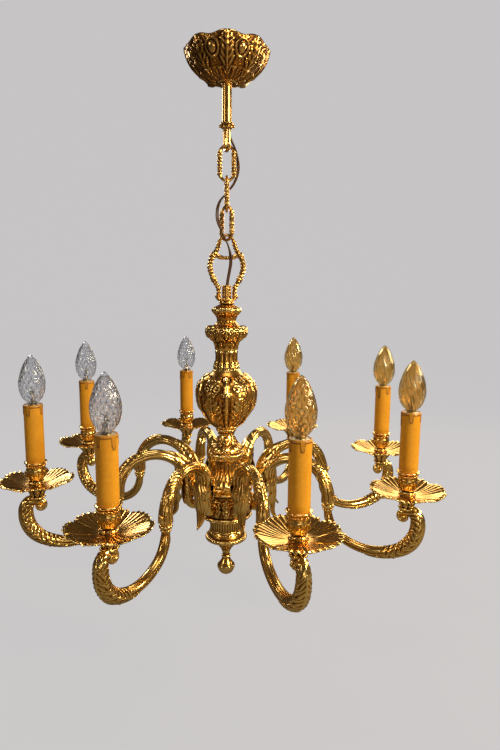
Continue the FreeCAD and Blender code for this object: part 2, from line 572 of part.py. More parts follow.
def arm_line(body, name):
    """The arm's centre line: out of the hub, up over an arch, down a straight drop, round a wide swoop and in."""
    sketch = sketch_on(body, "XZ_Plane", name)
    corner = value("cornerTurn")
    runs = [
        ("line", arm_start, "0", f"{leg_at} - footBend", "0"),
        ("arc", f"{leg_at} - footBend", "footBend", "footBend", -90, 0),
        ("line", leg_at, "footBend", leg_at, "archRise"),
        ("arc", arch_at, "archRise", "archRadius", 0, 180),
        ("line", drop_at, "archRise", drop_at, swoop_level),
        ("arc", f"{drop_at} + cornerRadius", swoop_level, "cornerRadius", 180, 180 + corner),
        ("arc", f"{drop_at} + {half_span}", swoop_centre, swoop_radius, 180 + corner, 360 - corner),
        ("arc", f"{tip_at} - cornerRadius", swoop_level, "cornerRadius", 360 - corner, 360),
        ("line", tip_at, swoop_level, tip_at, tip_level),
        ("arc", f"{tip_at} - tipRadius", tip_level, "tipRadius", 0, 90),
    ]
    for kind, across, up, *shape in runs:
        start = Vector(value(across), value(up), 0)
        if kind == "line":
            sketch.addGeometry(Part.LineSegment(start, Vector(value(shape[0]), value(shape[1]), 0)))
            continue
        radius, low, high = value(shape[0]), math.radians(shape[1]), math.radians(shape[2])
        arc = sketch.addGeometry(Part.ArcOfCircle(Part.Circle(start, Vector(0, 0, 1), radius), low, high))
        index = sketch.addConstraint(Sketcher.Constraint("Radius", arc, radius))
        sketch.setExpression(f"Constraints[{index}]", bound(shape[0]))
    for index in range(len(runs) - 1):
        sketch.addConstraint(Sketcher.Constraint("Tangent", index, near_end(sketch, index, index + 1),
                                                 index + 1, near_end(sketch, index + 1, index)))
    pin_point(sketch, 0, 1, arm_start, "0")
    pin_point(sketch, 3, 3, arch_at, "archRise")
    return sketch


def build_arm(number):
    """One arm: tube, tenon, ferrule, leaf, volute and calyx in one casting, with the wire's bore through it."""
    arm = new_body(f"arm_{number}")
    line = arm_line(arm, f"arm_line_{number}")
    pipe(arm, f"arm_tube_{number}", line, "armRadius", ("0", "0"), "YZ_Plane", arm_start)
    pad_disc(arm, f"tenon_{number}", "YZ_Plane", "tenonRadius", "tenonLength + footBend / 2", ("0", "0"),
             "drumRadius - tenonLength")
    turned(f"ferrule_{number}", [
        ("0", f"{swoop_level} + 2", 0), ("ferruleRadius - 2", f"{swoop_level} + 2", 0.4),
        ("ferruleRadius - 2", f"{swoop_level} + 2 + ferruleLength", 0),
        ("0", f"{swoop_level} + 2 + ferruleLength", 0)], drop_at, arm)
    pad_outline(arm, f"leaf_{number}", "XZ_Plane", [
        (f"{arch_at} - archRadius / 2", "archRise + archRadius * 0.866", 0.55), (leg_at, "footBend", -0.26)],
        "leafWidth")
    volute = arm.newObject("PartDesign::AdditiveSphere", f"volute_{number}")
    volute.setExpression("Radius", bound("voluteRadius"))
    volute.setExpression("Placement.Base.x", f"({bound('ringRadius - voluteReach')}) * 1 mm")
    volute.setExpression("Placement.Base.z", f"({bound(f'{arm_end} - voluteDrop')}) * 1 mm")
    arm.Tip = volute
    turned(f"calyx_{number}", [
        ("0", f"{arm_end} - calyxOverlap", 0), ("calyxFoot", f"{arm_end} - calyxOverlap", -0.1),
        ("calyxFoot", f"{arm_end} + calyxHeight * 0.2", -0.15), ("calyxRadius", calyx_top, 0), ("0", calyx_top, 0)],
        "ringRadius", arm)
    pocket_through(arm, "XY_Plane", f"nipple_thread_{number}", [("ringRadius", "0", "nippleRadius + seatGap")],
                   calyx_top, "nippleBelow + contactGap")
    pocket_through(arm, "XY_Plane", f"wire_drop_{number}", [("ringRadius", "0", "armBore")],
                   calyx_top, f"{calyx_top} - {arm_end}")
    bore_line = arm_line(arm, f"bore_line_{number}")
    pipe(arm, f"arm_bore_{number}", bore_line, "armBore", ("0", "0"), "YZ_Plane", arm_start, cut=True)
    pocket_through(arm, "YZ_Plane", f"tenon_bore_{number}", [("0", "0", "armBore")],
                   "drumRadius - tenonLength", "tenonLength + contactGap", True)
    place(arm, "0 - armLevel", beside=drum, turn=f"firstArm + 360 / armCount * {number - 1}")
    return arm


def build_pan(number, arm):
    """A shallow drip pan that sits on the calyx."""
    pan = turned(f"drip_pan_{number}", [
        ("nippleRadius + seatGap", "0", 0), ("panSeat", "0", -0.12), ("panRadius", "panDepth", 0),
        ("panRadius", "panDepth + sheetWall", 0.12), ("panSeat", "sheetWall", 0),
        ("nippleRadius + seatGap", "sheetWall", 0)])
    place(pan, calyx_top, beside=arm, across="ringRadius", turn=f"firstArm + 360 / armCount * {number - 1}")


sleeve_foot = "(sheetWall + candleCupHeight - sleeveSeat)"
sleeve_top = f"({sleeve_foot} + sleeveLength)"
holder_top = f"({sleeve_top} - holderBelowSleeve)"
holder_foot = "(sheetWall + nippleAbove - holderThread)"


def build_lamp(number, arm):
    """A lamp as two cemented pieces, the thin glass and the screw cap, standing in the lampholder."""
    glass = turned(f"lamp_glass_{number}", [
        ("0", "0", 0), ("capRadius", "0", -0.2), ("glassRadius", "glassLength * 0.36", -0.2),
        ("glassRadius * 0.5", "glassLength * 0.8", 0), ("0", "glassLength", 0),
        ("0", "glassLength - glassWall * 2", 0), ("glassRadius * 0.5 - glassWall", "glassLength * 0.8", 0.2),
        ("glassRadius - glassWall", "glassLength * 0.36", 0.2), ("capRadius - glassWall", "glassWall", 0),
        ("0", "glassWall", 0)])
    cap = turned(f"lamp_cap_{number}", [
        ("0", "0 - capLength - capTipLength", 0), ("capTipRadius", "0 - capLength - capTipLength", 0),
        ("capRadius", "0 - capLength", 0), ("capRadius", "0", 0), ("0", "0", 0)])
    lamp = doc.addObject("Part::Compound", f"lamp_{number}")
    lamp.Label = f"lamp_{number}"
    lamp.Links = [glass, cap]
    place(lamp, f"{calyx_top} + {sleeve_top}", beside=arm, across="ringRadius",
          turn=f"firstArm + 360 / armCount * {number - 1}")
    return lamp


arms = []
lamps = []
for number in range(1, int(size["armCount"]) + 1):
    arm = build_arm(number)
    build_pan(number, arm)
    lamps.append(build_lamp(number, arm))
    arms.append(arm)


def candle_set(name, corners):
    """One turned piece on each candle's axis: separate solids in one node, counted up from the pan's seat."""
    group = turned(name, corners, "ringRadius")
    around(group, [group.Tip])
    place(group, calyx_top, beside=arms[0], turn="firstArm")
    return group


candle_set("candle_cups", [
    ("nippleRadius + seatGap", "sheetWall", 0), ("candleCupFoot", "sheetWall", -0.1),
    ("sleeveRadius + candleCupLip / 2", "sheetWall + candleCupHeight * 0.7", 0.1),
    ("sleeveRadius + candleCupLip", "sheetWall + candleCupHeight", 0),
    ("sleeveRadius + seatGap", "sheetWall + candleCupHeight", 0), ("sleeveRadius + seatGap", sleeve_foot, 0),
    ("nippleRadius + seatGap", sleeve_foot, 0)])
candle_set("candle_sleeves", [
    ("sleeveRadius - sleeveWall", sleeve_foot, 0), ("sleeveRadius", sleeve_foot, 0), ("sleeveRadius", sleeve_top, 0),
    ("sleeveRadius - sleeveWall", sleeve_top, 0)])
candle_set("lamp_nipples", [
    ("nippleBore", "0 - nippleBelow", 0), ("nippleRadius", "0 - nippleBelow", 0),
    ("nippleRadius", "sheetWall + nippleAbove", 0), ("nippleBore", "sheetWall + nippleAbove", 0)])
candle_set("lampholders", [
    ("nippleRadius + seatGap", holder_foot, 0), ("holderRadius", holder_foot, 0), ("holderRadius", holder_top, 0),
    ("capRadius + runningGap", holder_top, 0), ("capRadius + runningGap", f"{holder_top} - holderSocket", 0),
    ("nippleBore", f"{holder_top} - holderSocket", 0), ("nippleBore", f"{holder_foot} + holderThread", 0),
    ("nippleRadius + seatGap", f"{holder_foot} + holderThread", 0)])

arm_nuts = new_body("arm_nuts")
nut_face = "(sqrt((drumRadius - castWall)^2 - rodNutRadius^2) - seatGap)"
arm_nut = pad_outline(arm_nuts, "arm_nut", "YZ_Plane", hexagon("rodNutRadius"), "armNutHeight",
                      f"{nut_face} - armNutHeight", midplane=False)
arm_nut_hole = pocket_through(arm_nuts, "YZ_Plane", "arm_nut_thread", [("0", "0", "tenonRadius + seatGap")],
                              f"{nut_face} - armNutHeight", "armNutHeight", True)
around(arm_nuts, [arm_nut, arm_nut_hole])
place(arm_nuts, "0", beside=arms[0], turn="firstArm")

wires = new_body("arm_wires")
wire_line = arm_line(wires, "wire_line")
wire_run = pipe(wires, "wire_run", wire_line, "wireRunRadius", ("0", "0"), "YZ_Plane", arm_start)
wire_tail = pad_disc(wires, "wire_tail", "YZ_Plane", "wireRunRadius", "tenonLength + connectorScrew * 2", ("0", "0"),
                     "drumRadius - tenonLength - contactGap * 5")
wire_rise = pad_disc(wires, "wire_rise", "XY_Plane", "wireRunRadius",
                     f"{calyx_top} - {arm_end} + {holder_foot}", ("ringRadius", "0"), arm_end)
around(wires, [wire_run, wire_tail, wire_rise])
place(wires, "0", beside=arms[0], turn="firstArm")

doc.recompute()

# The flex: four stretches from the stem to the tie rod, which meet halfway along the links.
flex_route = [
    (0, 0, -97), (0, 0, -113), (6, 3, -127), (15, 5, -145), (18, 6, -168), (12, 14, -187), (0, 18.5, -200),
    (-11, 14, -213), (-15, 3, -230), (-13.5, -7, -247), (-5, -12, -265), (4, -13, -284), (7, -10, -303),
    (4, -5, -320), (1, -1, -335), (0, 0, -351),
]
flex_cuts = (4, 7, 9)


def flex_stretches(route, cuts):
    """The route's points shared out: a stretch ends in the middle of the run that follows a cut point."""
    stretches, start = [], [route[0]]
    first = 1
    for cut in (*cuts, len(route) - 1):
        points = start + route[first:cut + 1]
        if cut < len(route) - 1:
            seam = tuple((a + b) / 2 for a, b in zip(route[cut], route[cut + 1]))
            points.append(seam)
            start, first = [seam], cut + 1
        stretches.append(points)
    return stretches


for number, points in enumerate(flex_stretches(flex_route, flex_cuts), start=1):
    wire, radii = smooth_path(points)
    set_feature(f"flex_{number}", tube_along(wire, size["flexRadius"]))
    print(f"flex_{number}: length {wire.Length:.1f}, arc radii {[round(radius, 1) for radius in radii]}")
doc.recompute()

# Everything is tested before anything is written.
inner = {part.Name for lamp in lamps for part in lamp.Links}
nodes = [item for item in doc.Objects
         if item.TypeId in ("PartDesign::Body", "Part::Compound", "Part::Feature") and item.Name not in inner]
for item in doc.Objects:
    if "Invalid" in item.State or "Error" in item.State:
        raise ValueError(f"{item.Name} failed: {item.State}")
for node in nodes:
    if node.Shape.isNull() or not node.Shape.isValid() or not node.Shape.Solids:
        raise ValueError(f"{node.Label} has no valid solid")
os.makedirs("parts", exist_ok=True)
for node in nodes:
    node.Shape.exportStep(f"parts/{node.Label}.step")
    print(f"{node.Label}: {len(node.Shape.Solids)} solids, {node.Shape.Volume / 1000:.2f} cm3")
print(len(nodes), "nodes")
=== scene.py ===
import bpy
import math
import numpy as np
from mathutils import Matrix, Vector


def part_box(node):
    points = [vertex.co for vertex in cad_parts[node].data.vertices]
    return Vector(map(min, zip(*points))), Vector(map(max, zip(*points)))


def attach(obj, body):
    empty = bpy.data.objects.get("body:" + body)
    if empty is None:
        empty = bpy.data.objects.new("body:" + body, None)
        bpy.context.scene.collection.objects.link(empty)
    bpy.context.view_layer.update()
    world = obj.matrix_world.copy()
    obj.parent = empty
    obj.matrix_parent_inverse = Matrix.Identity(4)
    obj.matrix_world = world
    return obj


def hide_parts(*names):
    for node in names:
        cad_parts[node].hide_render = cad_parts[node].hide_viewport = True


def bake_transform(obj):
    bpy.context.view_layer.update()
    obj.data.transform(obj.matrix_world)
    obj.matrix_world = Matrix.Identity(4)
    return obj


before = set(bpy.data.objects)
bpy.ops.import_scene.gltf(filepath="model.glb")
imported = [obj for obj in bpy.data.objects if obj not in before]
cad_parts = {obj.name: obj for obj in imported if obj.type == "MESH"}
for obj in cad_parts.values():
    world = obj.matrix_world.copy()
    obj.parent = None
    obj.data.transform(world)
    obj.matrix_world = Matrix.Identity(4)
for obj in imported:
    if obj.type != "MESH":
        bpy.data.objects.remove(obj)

# An eight-light cast-brass chandelier on a short chain.
# The scene is in metres, and the pieces are drawn in millimetres.
mm = 0.001
front = -math.pi / 2  # the side that faces the viewer
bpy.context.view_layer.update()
print("stage: frame loaded")

# The camera.
view = {"place": (0.0, -0.870, -0.350), "pitch": 8.30, "yaw": 2.42, "roll": 0.46, "lens": 27.07,
        "sensor": 36.0}


def addCamera():
    pitch, yaw, roll = (math.radians(view[key]) for key in ("pitch", "yaw", "roll"))
    ahead = Vector((math.sin(yaw) * math.cos(pitch), math.cos(yaw) * math.cos(pitch), -math.sin(pitch)))
    level = Vector((math.cos(yaw), -math.sin(yaw), 0))
    above = level.cross(ahead)
    across = level * math.cos(roll) + above * math.sin(roll)
    upward = above * math.cos(roll) - level * math.sin(roll)
    data = bpy.data.cameras.new("camera")
    data.lens = view["lens"]
    data.sensor_width = view["sensor"]
    camera = bpy.data.objects.new("camera", data)
    turned = Matrix((across, upward, -ahead)).transposed()
    camera.matrix_world = Matrix.Translation(view["place"]) @ turned.to_4x4()
    bpy.context.scene.collection.objects.link(camera)
    bpy.context.scene.camera = camera


addCamera()


# Small helpers for node trees.
def newMaterial(name):
    material = bpy.data.materials.new(name)
    material.use_nodes = True
    return material, material.node_tree, material.node_tree.nodes["Principled BSDF"]


def addNode(tree, kind, settings=None, **inputs):
    node = tree.nodes.new(kind)
    for key, value in (settings or {}).items():
        setattr(node, key, value)
    for key, value in inputs.items():
        socket = node.inputs[key]
        if isinstance(value, bpy.types.NodeSocket):
            tree.links.new(value, socket)
        else:
            socket.default_value = value
    return node


def mathOf(tree, operation, *values):
    node = addNode(tree, "ShaderNodeMath", {"operation": operation})
    for socket, value in zip(node.inputs, values):
        if isinstance(value, bpy.types.NodeSocket):
            tree.links.new(value, socket)
        else:
            socket.default_value = value
    return node.outputs[0]


def addRamp(tree, fac, stops):
    ramp = addNode(tree, "ShaderNodeValToRGB", Fac=fac)
    marks = ramp.color_ramp.elements
    marks[0].position, marks[1].position = stops[0][0], stops[-1][0]
    marks[0].color, marks[1].color = (*stops[0][1], 1), (*stops[-1][1], 1)
    for place, colour in stops[1:-1]:
        marks.new(place).color = (*colour, 1)
    return ramp.outputs["Color"]


def mixOf(tree, factor, first, second):
    # the first colour where the factor is 0, and the second where it is 1
    node = addNode(tree, "ShaderNodeMix", {"data_type": "RGBA"})
    tree.links.new(factor, node.inputs["Factor"])
    for socket, colour in ((node.inputs[6], first), (node.inputs[7], second)):
        if isinstance(colour, bpy.types.NodeSocket):
            tree.links.new(colour, socket)
        else:
            socket.default_value = (*colour, 1)
    return node.outputs[2]


def rangeOf(tree, value, fromLow, fromHigh, toLow, toHigh):
    node = addNode(tree, "ShaderNodeMapRange", **{"Value": value, "From Min": fromLow, "From Max": fromHigh,
                                                  "To Min": toLow, "To Max": toHigh})
    return node.outputs["Result"]


def bumpOf(tree, height, strength, distance):
    node = addNode(tree, "ShaderNodeBump", Height=height, Strength=strength, Distance=distance)
    return node.outputs["Normal"]


def newGroup(name, inputs, outputs):
    group = bpy.data.node_groups.new(name, "ShaderNodeTree")
    for label, kind, start in inputs:
        group.interface.new_socket(label, in_out="INPUT", socket_type=kind).default_value = start
    for label, kind in outputs:
        group.interface.new_socket(label, in_out="OUTPUT", socket_type=kind)
    return group, group.nodes.new("NodeGroupInput"), group.nodes.new("NodeGroupOutput")


def placeGroup(tree, group, **inputs):
    return addNode(tree, "ShaderNodeGroup", {"node_tree": group}, **inputs)


def makePatinaGroup():
    # mask is 1 on rubbed ridges and 0 in dark hollows, broken up by cloudy and speckled noise
    group, given, result = newGroup("patina", [
        ("Relief", "NodeSocketFloat", 0.5), ("Cloud Scale", "NodeSocketFloat", 40.0),
        ("Speckle Scale", "NodeSocketFloat", 400.0), ("Breakup", "NodeSocketFloat", 0.3)],
        [("Mask", "NodeSocketFloat"), ("Cloud", "NodeSocketFloat"), ("Grain", "NodeSocketFloat")])
    place = addNode(group, "ShaderNodeTexCoord").outputs["Object"]
    cloud = addNode(group, "ShaderNodeTexNoise", Vector=place,
                    Scale=given.outputs["Cloud Scale"], Detail=4.0)
    speckle = addNode(group, "ShaderNodeTexNoise", Vector=place,
                      Scale=given.outputs["Speckle Scale"], Detail=3.0)
    drift = mathOf(group, "SUBTRACT", cloud.outputs["Fac"], 0.5)
    fleck = mathOf(group, "SUBTRACT", speckle.outputs["Fac"], 0.5)
    both = mathOf(group, "MULTIPLY", mathOf(group, "ADD", drift, fleck), given.outputs["Breakup"])
    total = mathOf(group, "ADD", given.outputs["Relief"], both)
    clean = addNode(group, "ShaderNodeClamp", Value=total)
    group.links.new(clean.outputs[0], result.inputs["Mask"])
    group.links.new(cloud.outputs["Fac"], result.inputs["Cloud"])
    group.links.new(speckle.outputs["Fac"], result.inputs["Grain"])
    return group


patinaGroup = makePatinaGroup()


def makeBrass(name, dark, deep, body, bright, smoothness=0.0):
    material, tree, shader = newMaterial(name)
    relief = addNode(tree, "ShaderNodeAttribute", {"attribute_name": "relief"}).outputs["Fac"]
    patina = placeGroup(tree, patinaGroup, **{"Relief": relief, "Cloud Scale": 45.0, "Speckle Scale": 520.0,
                                              "Breakup": 0.35})
    colour = addRamp(tree, patina.outputs["Mask"],
                     [(0.12, dark), (0.36, deep), (0.56, body), (0.86, bright)])
    shade = rangeOf(tree, patina.outputs["Mask"], 0.15, 0.8, 0.46 - smoothness, 0.17 - smoothness / 2)
    haze = mathOf(tree, "MULTIPLY", mathOf(tree, "SUBTRACT", patina.outputs["Cloud"], 0.5), 0.14)
    tree.links.new(colour, shader.inputs["Base Color"])
    tree.links.new(mathOf(tree, "ADD", shade, haze), shader.inputs["Roughness"])
    metal = rangeOf(tree, patina.outputs["Mask"], 0.1, 0.4, 0.82, 1.0)
    tree.links.new(metal, shader.inputs["Metallic"])
    tree.links.new(bumpOf(tree, patina.outputs["Grain"], 0.22, 0.0004), shader.inputs["Normal"])
    return material


antiqueBrass = makeBrass("antiqueBrass", (0.030, 0.012, 0.004), (0.26, 0.105, 0.018), (0.70, 0.37, 0.075),
                         (1.0, 0.72, 0.26))
darkBrass = makeBrass("darkBrass", (0.022, 0.009, 0.003), (0.16, 0.062, 0.012), (0.44, 0.205, 0.042),
                      (0.86, 0.53, 0.17), -0.04)
smoothBrass = makeBrass("smoothBrass", (0.06, 0.025, 0.007), (0.34, 0.15, 0.03), (0.74, 0.42, 0.10),
                        (1.0, 0.72, 0.28), 0.10)


def makePlain(name, colour, roughness, metallic=0.0, variation=0.12, scale=60.0, bumpSize=0.0001):
    # moulded, drawn and plated parts: one colour with cloudy variation and a fine surface
    material, tree, shader = newMaterial(name)
    patina = placeGroup(tree, patinaGroup,
                        **{"Relief": 0.5, "Cloud Scale": scale, "Speckle Scale": scale * 14,
                                              "Breakup": 1.0})
    low, high = ([channel * (1 + way * variation) for channel in colour] for way in (-1, 1))
    tree.links.new(addRamp(tree, patina.outputs["Mask"], [(0.3, low), (0.7, high)]),
                   shader.inputs["Base Color"])
    shade = rangeOf(tree, patina.outputs["Cloud"], 0.3, 0.7, roughness - 0.06, roughness + 0.06)
    tree.links.new(shade, shader.inputs["Roughness"])
    shader.inputs["Metallic"].default_value = metallic
    tree.links.new(bumpOf(tree, patina.outputs["Grain"], 0.2, bumpSize), shader.inputs["Normal"])
    return material


zincSteel = makePlain("zincSteel", (0.52, 0.52, 0.50), 0.34, 1.0)
creamPlastic = makePlain("creamPlastic", (0.78, 0.74, 0.64), 0.42)
flexBrown = makePlain("flexBrown", (0.075, 0.032, 0.014), 0.33, 0.0, 0.25)
capBrass = makePlain("capBrass", (0.78, 0.60, 0.30), 0.3, 1.0)
stemBrass = makePlain("stemBrass", (0.78, 0.46, 0.13), 0.26, 1.0, 0.2)
filamentWire = makePlain("filamentWire", (0.45, 0.42, 0.40), 0.35, 1.0)


def makeCandleWax():
    material, tree, shader = newMaterial("candleWax")
    drip = addNode(tree, "ShaderNodeAttribute", {"attribute_name": "drip"}).outputs["Fac"]
    patina = placeGroup(tree, patinaGroup, **{"Relief": 0.5, "Cloud Scale": 30.0, "Speckle Scale": 300.0,
                                              "Breakup": 0.8})
    wax = addRamp(tree, patina.outputs["Mask"], [(0.25, (0.72, 0.30, 0.012)), (0.75, (0.84, 0.40, 0.020))])
    stained = mixOf(tree, drip, wax, (0.10, 0.022, 0.004))
    tree.links.new(stained, shader.inputs["Base Color"])
    tree.links.new(rangeOf(tree, patina.outputs["Cloud"], 0.0, 1.0, 0.30, 0.46), shader.inputs["Roughness"])
    shader.inputs["Subsurface Weight"].default_value = 0.12
    shader.inputs["Subsurface Radius"].default_value = (0.006, 0.003, 0.001)
    shader.inputs["Coat Weight"].default_value = 0.15
    tree.links.new(bumpOf(tree, patina.outputs["Grain"], 0.1, 0.0002), shader.inputs["Normal"])
    return material


candleWax = makeCandleWax()


def makeGlass(name, tint):
    # clear on the ridges of the cuts, with painted shade darkening the glass in their grooves, and a little
    # dust
    material, tree, shader = newMaterial(name)
    cuts = addNode(tree, "ShaderNodeAttribute", {"attribute_name": "relief"}).outputs["Fac"]
    # painted shade: the grooves get three tenths of the clear tint
    grooveShade = [channel * 0.30 for channel in tint]
    tree.links.new(addRamp(tree, cuts, [(0.18, grooveShade), (0.50, tint)]), shader.inputs["Base Color"])
    shader.inputs["Transmission Weight"].default_value = 1.0
    shader.inputs["IOR"].default_value = 1.45
    place = addNode(tree, "ShaderNodeTexCoord").outputs["Object"]
    dust = addNode(tree, "ShaderNodeTexNoise", Vector=place, Scale=150.0, Detail=3.0).outputs["Fac"]
    tree.links.new(rangeOf(tree, dust, 0.4, 0.7, 0.0, 0.06), shader.inputs["Roughness"])
    return material


clearGlass = makeGlass("clearGlass", (0.97, 0.98, 1.0))
amberGlass = makeGlass("amberGlass", (1.0, 0.74, 0.34))
print("stage: materials")


# Grids of points: every cast piece is drawn as rows of points around it, in millimetres.
def unit(vectors):
    return vectors / np.maximum(np.linalg.norm(vectors, axis=-1, keepdims=True), 1e-9)


def around(radius, angle, up):
    return np.stack([radius * np.cos(angle), radius * np.sin(angle), up + 0 * angle], -1)


def lengthsOf(points):
    return np.append(0, np.cumsum(np.linalg.norm(np.diff(points, axis=0), axis=1)))


def alongLine(station, lengths, points):
    return np.stack([np.interp(station, lengths, points[:, axis]) for axis in range(points.shape[1])], -1)


def smoothLine(points, rounds=4):
    # corners cut by quarters, again and again
    points = np.array(points, dtype=float)
    for _ in range(rounds):
        quarter = points[:-1] * 0.75 + points[1:] * 0.25
        threeQuarters = points[:-1] * 0.25 + points[1:] * 0.75
        cut = np.concatenate([quarter, threeQuarters], 1)
        points = np.vstack([points[:1], cut.reshape(-1, points.shape[1]), points[-1:]])
    return points


def sampleOutline(corners, pitch):
    # corners are (radius, level, bulge), a bulge being the tangent of a quarter turn of the arc, left +
    points = []
    for (radius, level, bulge), (nextRadius, nextLevel, _) in zip(corners, corners[1:]):
        start, end = np.array([radius, level]), np.array([nextRadius, nextLevel])
        chord = end - start
        length = np.hypot(*chord)
        share = np.linspace(0, 1, max(2, int(length * (1 + abs(bulge)) / pitch)), endpoint=False)[:, None]
        if bulge == 0:
            points.append(start + chord * share)
            continue
        left = np.array([-chord[1], chord[0]]) / length
        rise = bulge * length / 2
        arcRadius = (length ** 2 / 4 + rise ** 2) / (2 * abs(rise))
        centre = (start + end) / 2 + left * (rise - math.copysign(arcRadius, rise))
        first = math.atan2(*(start - centre)[::-1])
        turn = -math.copysign(4 * math.atan(abs(bulge)), bulge)
        angle = first + turn * share
        points.append(centre + arcRadius * np.hstack([np.cos(angle), np.sin(angle)]))
    return np.vstack(points + [[corners[-1][:2]]])


def soften(grid, passes, wrapRows):
    for _ in range(passes):
        grid = (np.roll(grid, 1, 1) + grid * 2 + np.roll(grid, -1, 1)) / 4
        above = grid[-1:] if wrapRows else grid[:1]
        below = grid[:1] if wrapRows else grid[-1:]
        tall = np.concatenate([above, grid, below])
        grid = (tall[:-2] + tall[1:-1] * 2 + tall[2:]) / 4
    return grid


def gridPart(points, wrapRows=False, capStart=False, capEnd=False, wear=0.8, passes=7):
    # a closed skin over rows of points, with a relief value that is high on ridges and low in hollows
    rows, cols = points.shape[:2]
    index = np.arange(rows * cols).reshape(rows, cols)
    upper = index if wrapRows else index[:-1]
    lower = np.roll(index, -1, 0) if wrapRows else index[1:]
    quads = np.stack([upper, np.roll(upper, -1, 1), np.roll(lower, -1, 1), lower], -1).reshape(-1, 4)
    along = np.roll(points, -1, 0) - np.roll(points, 1, 0) if wrapRows else np.gradient(points, axis=0)
    across = np.roll(points, -1, 1) - np.roll(points, 1, 1)
    normal = unit(np.cross(across, along))
    rise = np.sum((points - soften(points, passes, wrapRows)) * normal, axis=2)
    verts = points.reshape(-1, 3)
    corner = verts[quads]
    volume = (np.einsum("ij,ij->i", corner[:, 0], np.cross(corner[:, 1], corner[:, 2])).sum()
              + np.einsum("ij,ij->i", corner[:, 0], np.cross(corner[:, 2], corner[:, 3])).sum())
    triangles = []
    relief = rise.reshape(-1)
    for wanted, row in ((capStart, index[0][::-1]), (capEnd, index[-1])):
        if wanted:
            hub = len(verts)
            verts = np.vstack([verts, verts[row].mean(axis=0)])
            relief = np.append(relief, relief[row].mean())
            triangles += [(hub, first, second) for first, second in zip(row, np.roll(row, -1))]
    if triangles:
        corner = verts[np.array(triangles)]
        volume += np.einsum("ij,ij->i", corner[:, 0], np.cross(corner[:, 1], corner[:, 2])).sum()
    if volume < 0:
        quads = quads[:, ::-1]
        triangles = [face[::-1] for face in triangles]
        relief = -relief
    return {"verts": verts, "quads": quads, "triangles": np.array(triangles, dtype=int).reshape(-1, 3),
            "relief": np.clip(0.52 + relief / wear, 0, 1)}


def moved(part, turn=0.0, shift=(0, 0, 0)):
    # the same part turned about the vertical axis and then shifted
    spin = np.array([[math.cos(turn), -math.sin(turn), 0], [math.sin(turn), math.cos(turn), 0], [0, 0, 1]])
    return {**part, "verts": (part["verts"] + np.array(shift)) @ spin.T}


def buildPiece(name, parts, material, body, stands=(), extra=None):
    verts, faces, relief, base = [], [], [], 0
    for part in parts:
        verts.append(part["verts"])
        relief.append(part["relief"])
        faces += (part["quads"] + base).tolist() + (part["triangles"] + base).tolist()
        base += len(part["verts"])
    mesh = bpy.data.meshes.new(name)
    mesh.from_pydata((np.vstack(verts) * mm).tolist(), [], faces)
    mesh.attributes.new("relief", "FLOAT", "POINT").data.foreach_set("value", np.concatenate(relief))
    if extra:
        values = np.concatenate([part[extra] for part in parts])
        mesh.attributes.new(extra, "FLOAT", "POINT").data.foreach_set("value", values)
    mesh.materials.append(material)
    mesh.shade_smooth()
    piece = bpy.data.objects.new(name, mesh)
    bpy.context.scene.collection.objects.link(piece)
    if body:
        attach(piece, body)
    if stands:
        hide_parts(*stands)
    return piece


def topOf(node):
    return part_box(node)[1][2] / mm


def footOf(node):
    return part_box(node)[0][2] / mm


# Ornament, as heights in millimetres over an angle around and a place along.
def ramp(value, low, high):
    share = np.clip((value - low) / (high - low), 0, 1)
    return share * share * (3 - 2 * share)


def band(value, low, high, edge):
    return ramp(value, low - edge, low + edge) * (1 - ramp(value, high - edge, high + edge))


def ribs(angle, count, width, shift=0.0):
    # narrow round ribs, the first at the front
    place = (angle - front) * count / (2 * math.pi) + shift
    offset = np.abs(place - np.round(place)) / width
    return np.sqrt(np.clip(1 - offset ** 2, 0, 1))


def gadroons(angle, count, shift=0.0):
    return np.sqrt(np.abs(np.cos((angle - front) * count / 2 + shift)))


def acanthus(across, along, lobes, stem=0.07):
    # a pointed leaf: across runs -1 to 1, along 0 at its root to 1 at its tip
    share = np.clip(along, 0, 1)
    side = np.abs(across)
    teeth = np.abs(np.sin(math.pi * lobes * (share - 0.30 * side)))
    swell = np.clip(np.sin(math.pi * np.clip(share * 0.94 + 0.06, 0, 1)), 0, 1)
    width = swell ** 0.55 * (0.66 + 0.34 * teeth)
    cover = ramp(1 - side / np.maximum(width, 0.02), 0.0, 0.16)
    veins = 0.5 + 0.5 * np.cos(2 * math.pi * lobes * (share - 0.30 * side) + math.pi)
    midrib = np.exp(-(side / stem) ** 2)
    inside = (along > 0) & (along < 1)
    return inside * cover * (0.42 + 0.30 * veins * (1 - midrib) + 0.55 * midrib + 0.12 * (1 - side))


def panelLeaves(angle, level, count, root, tip, lobes, shift=0.5, spread=0.92):
    place = (angle - front) * count / (2 * math.pi) + shift
    across = (place - np.round(place)) * 2 / spread
    return acanthus(across, (level - root) / (tip - root), lobes)


def scrolls(angle, level, count, centre, size, radius, shift=0.5):
    # a pair of spiral curls in each panel
    place = (angle - front) * count / (2 * math.pi) + shift
    across = np.abs((place - np.round(place)) * 2 * math.pi / count * radius)
    east, north = across - size * 0.9, level - centre
    reach = np.hypot(east, north) / size
    turn = np.arctan2(north, east)
    ridge = 0.5 + 0.5 * np.cos(2 * math.pi * reach * 1.6 - turn)
    return ridge * (1 - ramp(reach, 0.75, 1.05))


def raisedSkin(path, ornament, steps):
    # rows of points turned about the axis and pushed out by the ornament, with both ends left plain
    heading = unit(np.gradient(path, axis=0))
    normal = np.stack([-heading[:, 1], heading[:, 0]], 1)
    angle = np.arange(steps) / steps * 2 * math.pi + np.zeros((len(path), 1))
    level = path[:, 1:2] + np.zeros((1, steps))
    ends = np.minimum(np.arange(len(path)), np.arange(len(path))[::-1])[:, None]
    height = ornament(angle, level) * np.clip(ends / 3, 0, 1) if ornament else np.zeros_like(angle)
    return around(path[:, 0:1] + normal[:, 0:1] * height, angle, path[:, 1:2] + normal[:, 1:2] * height)


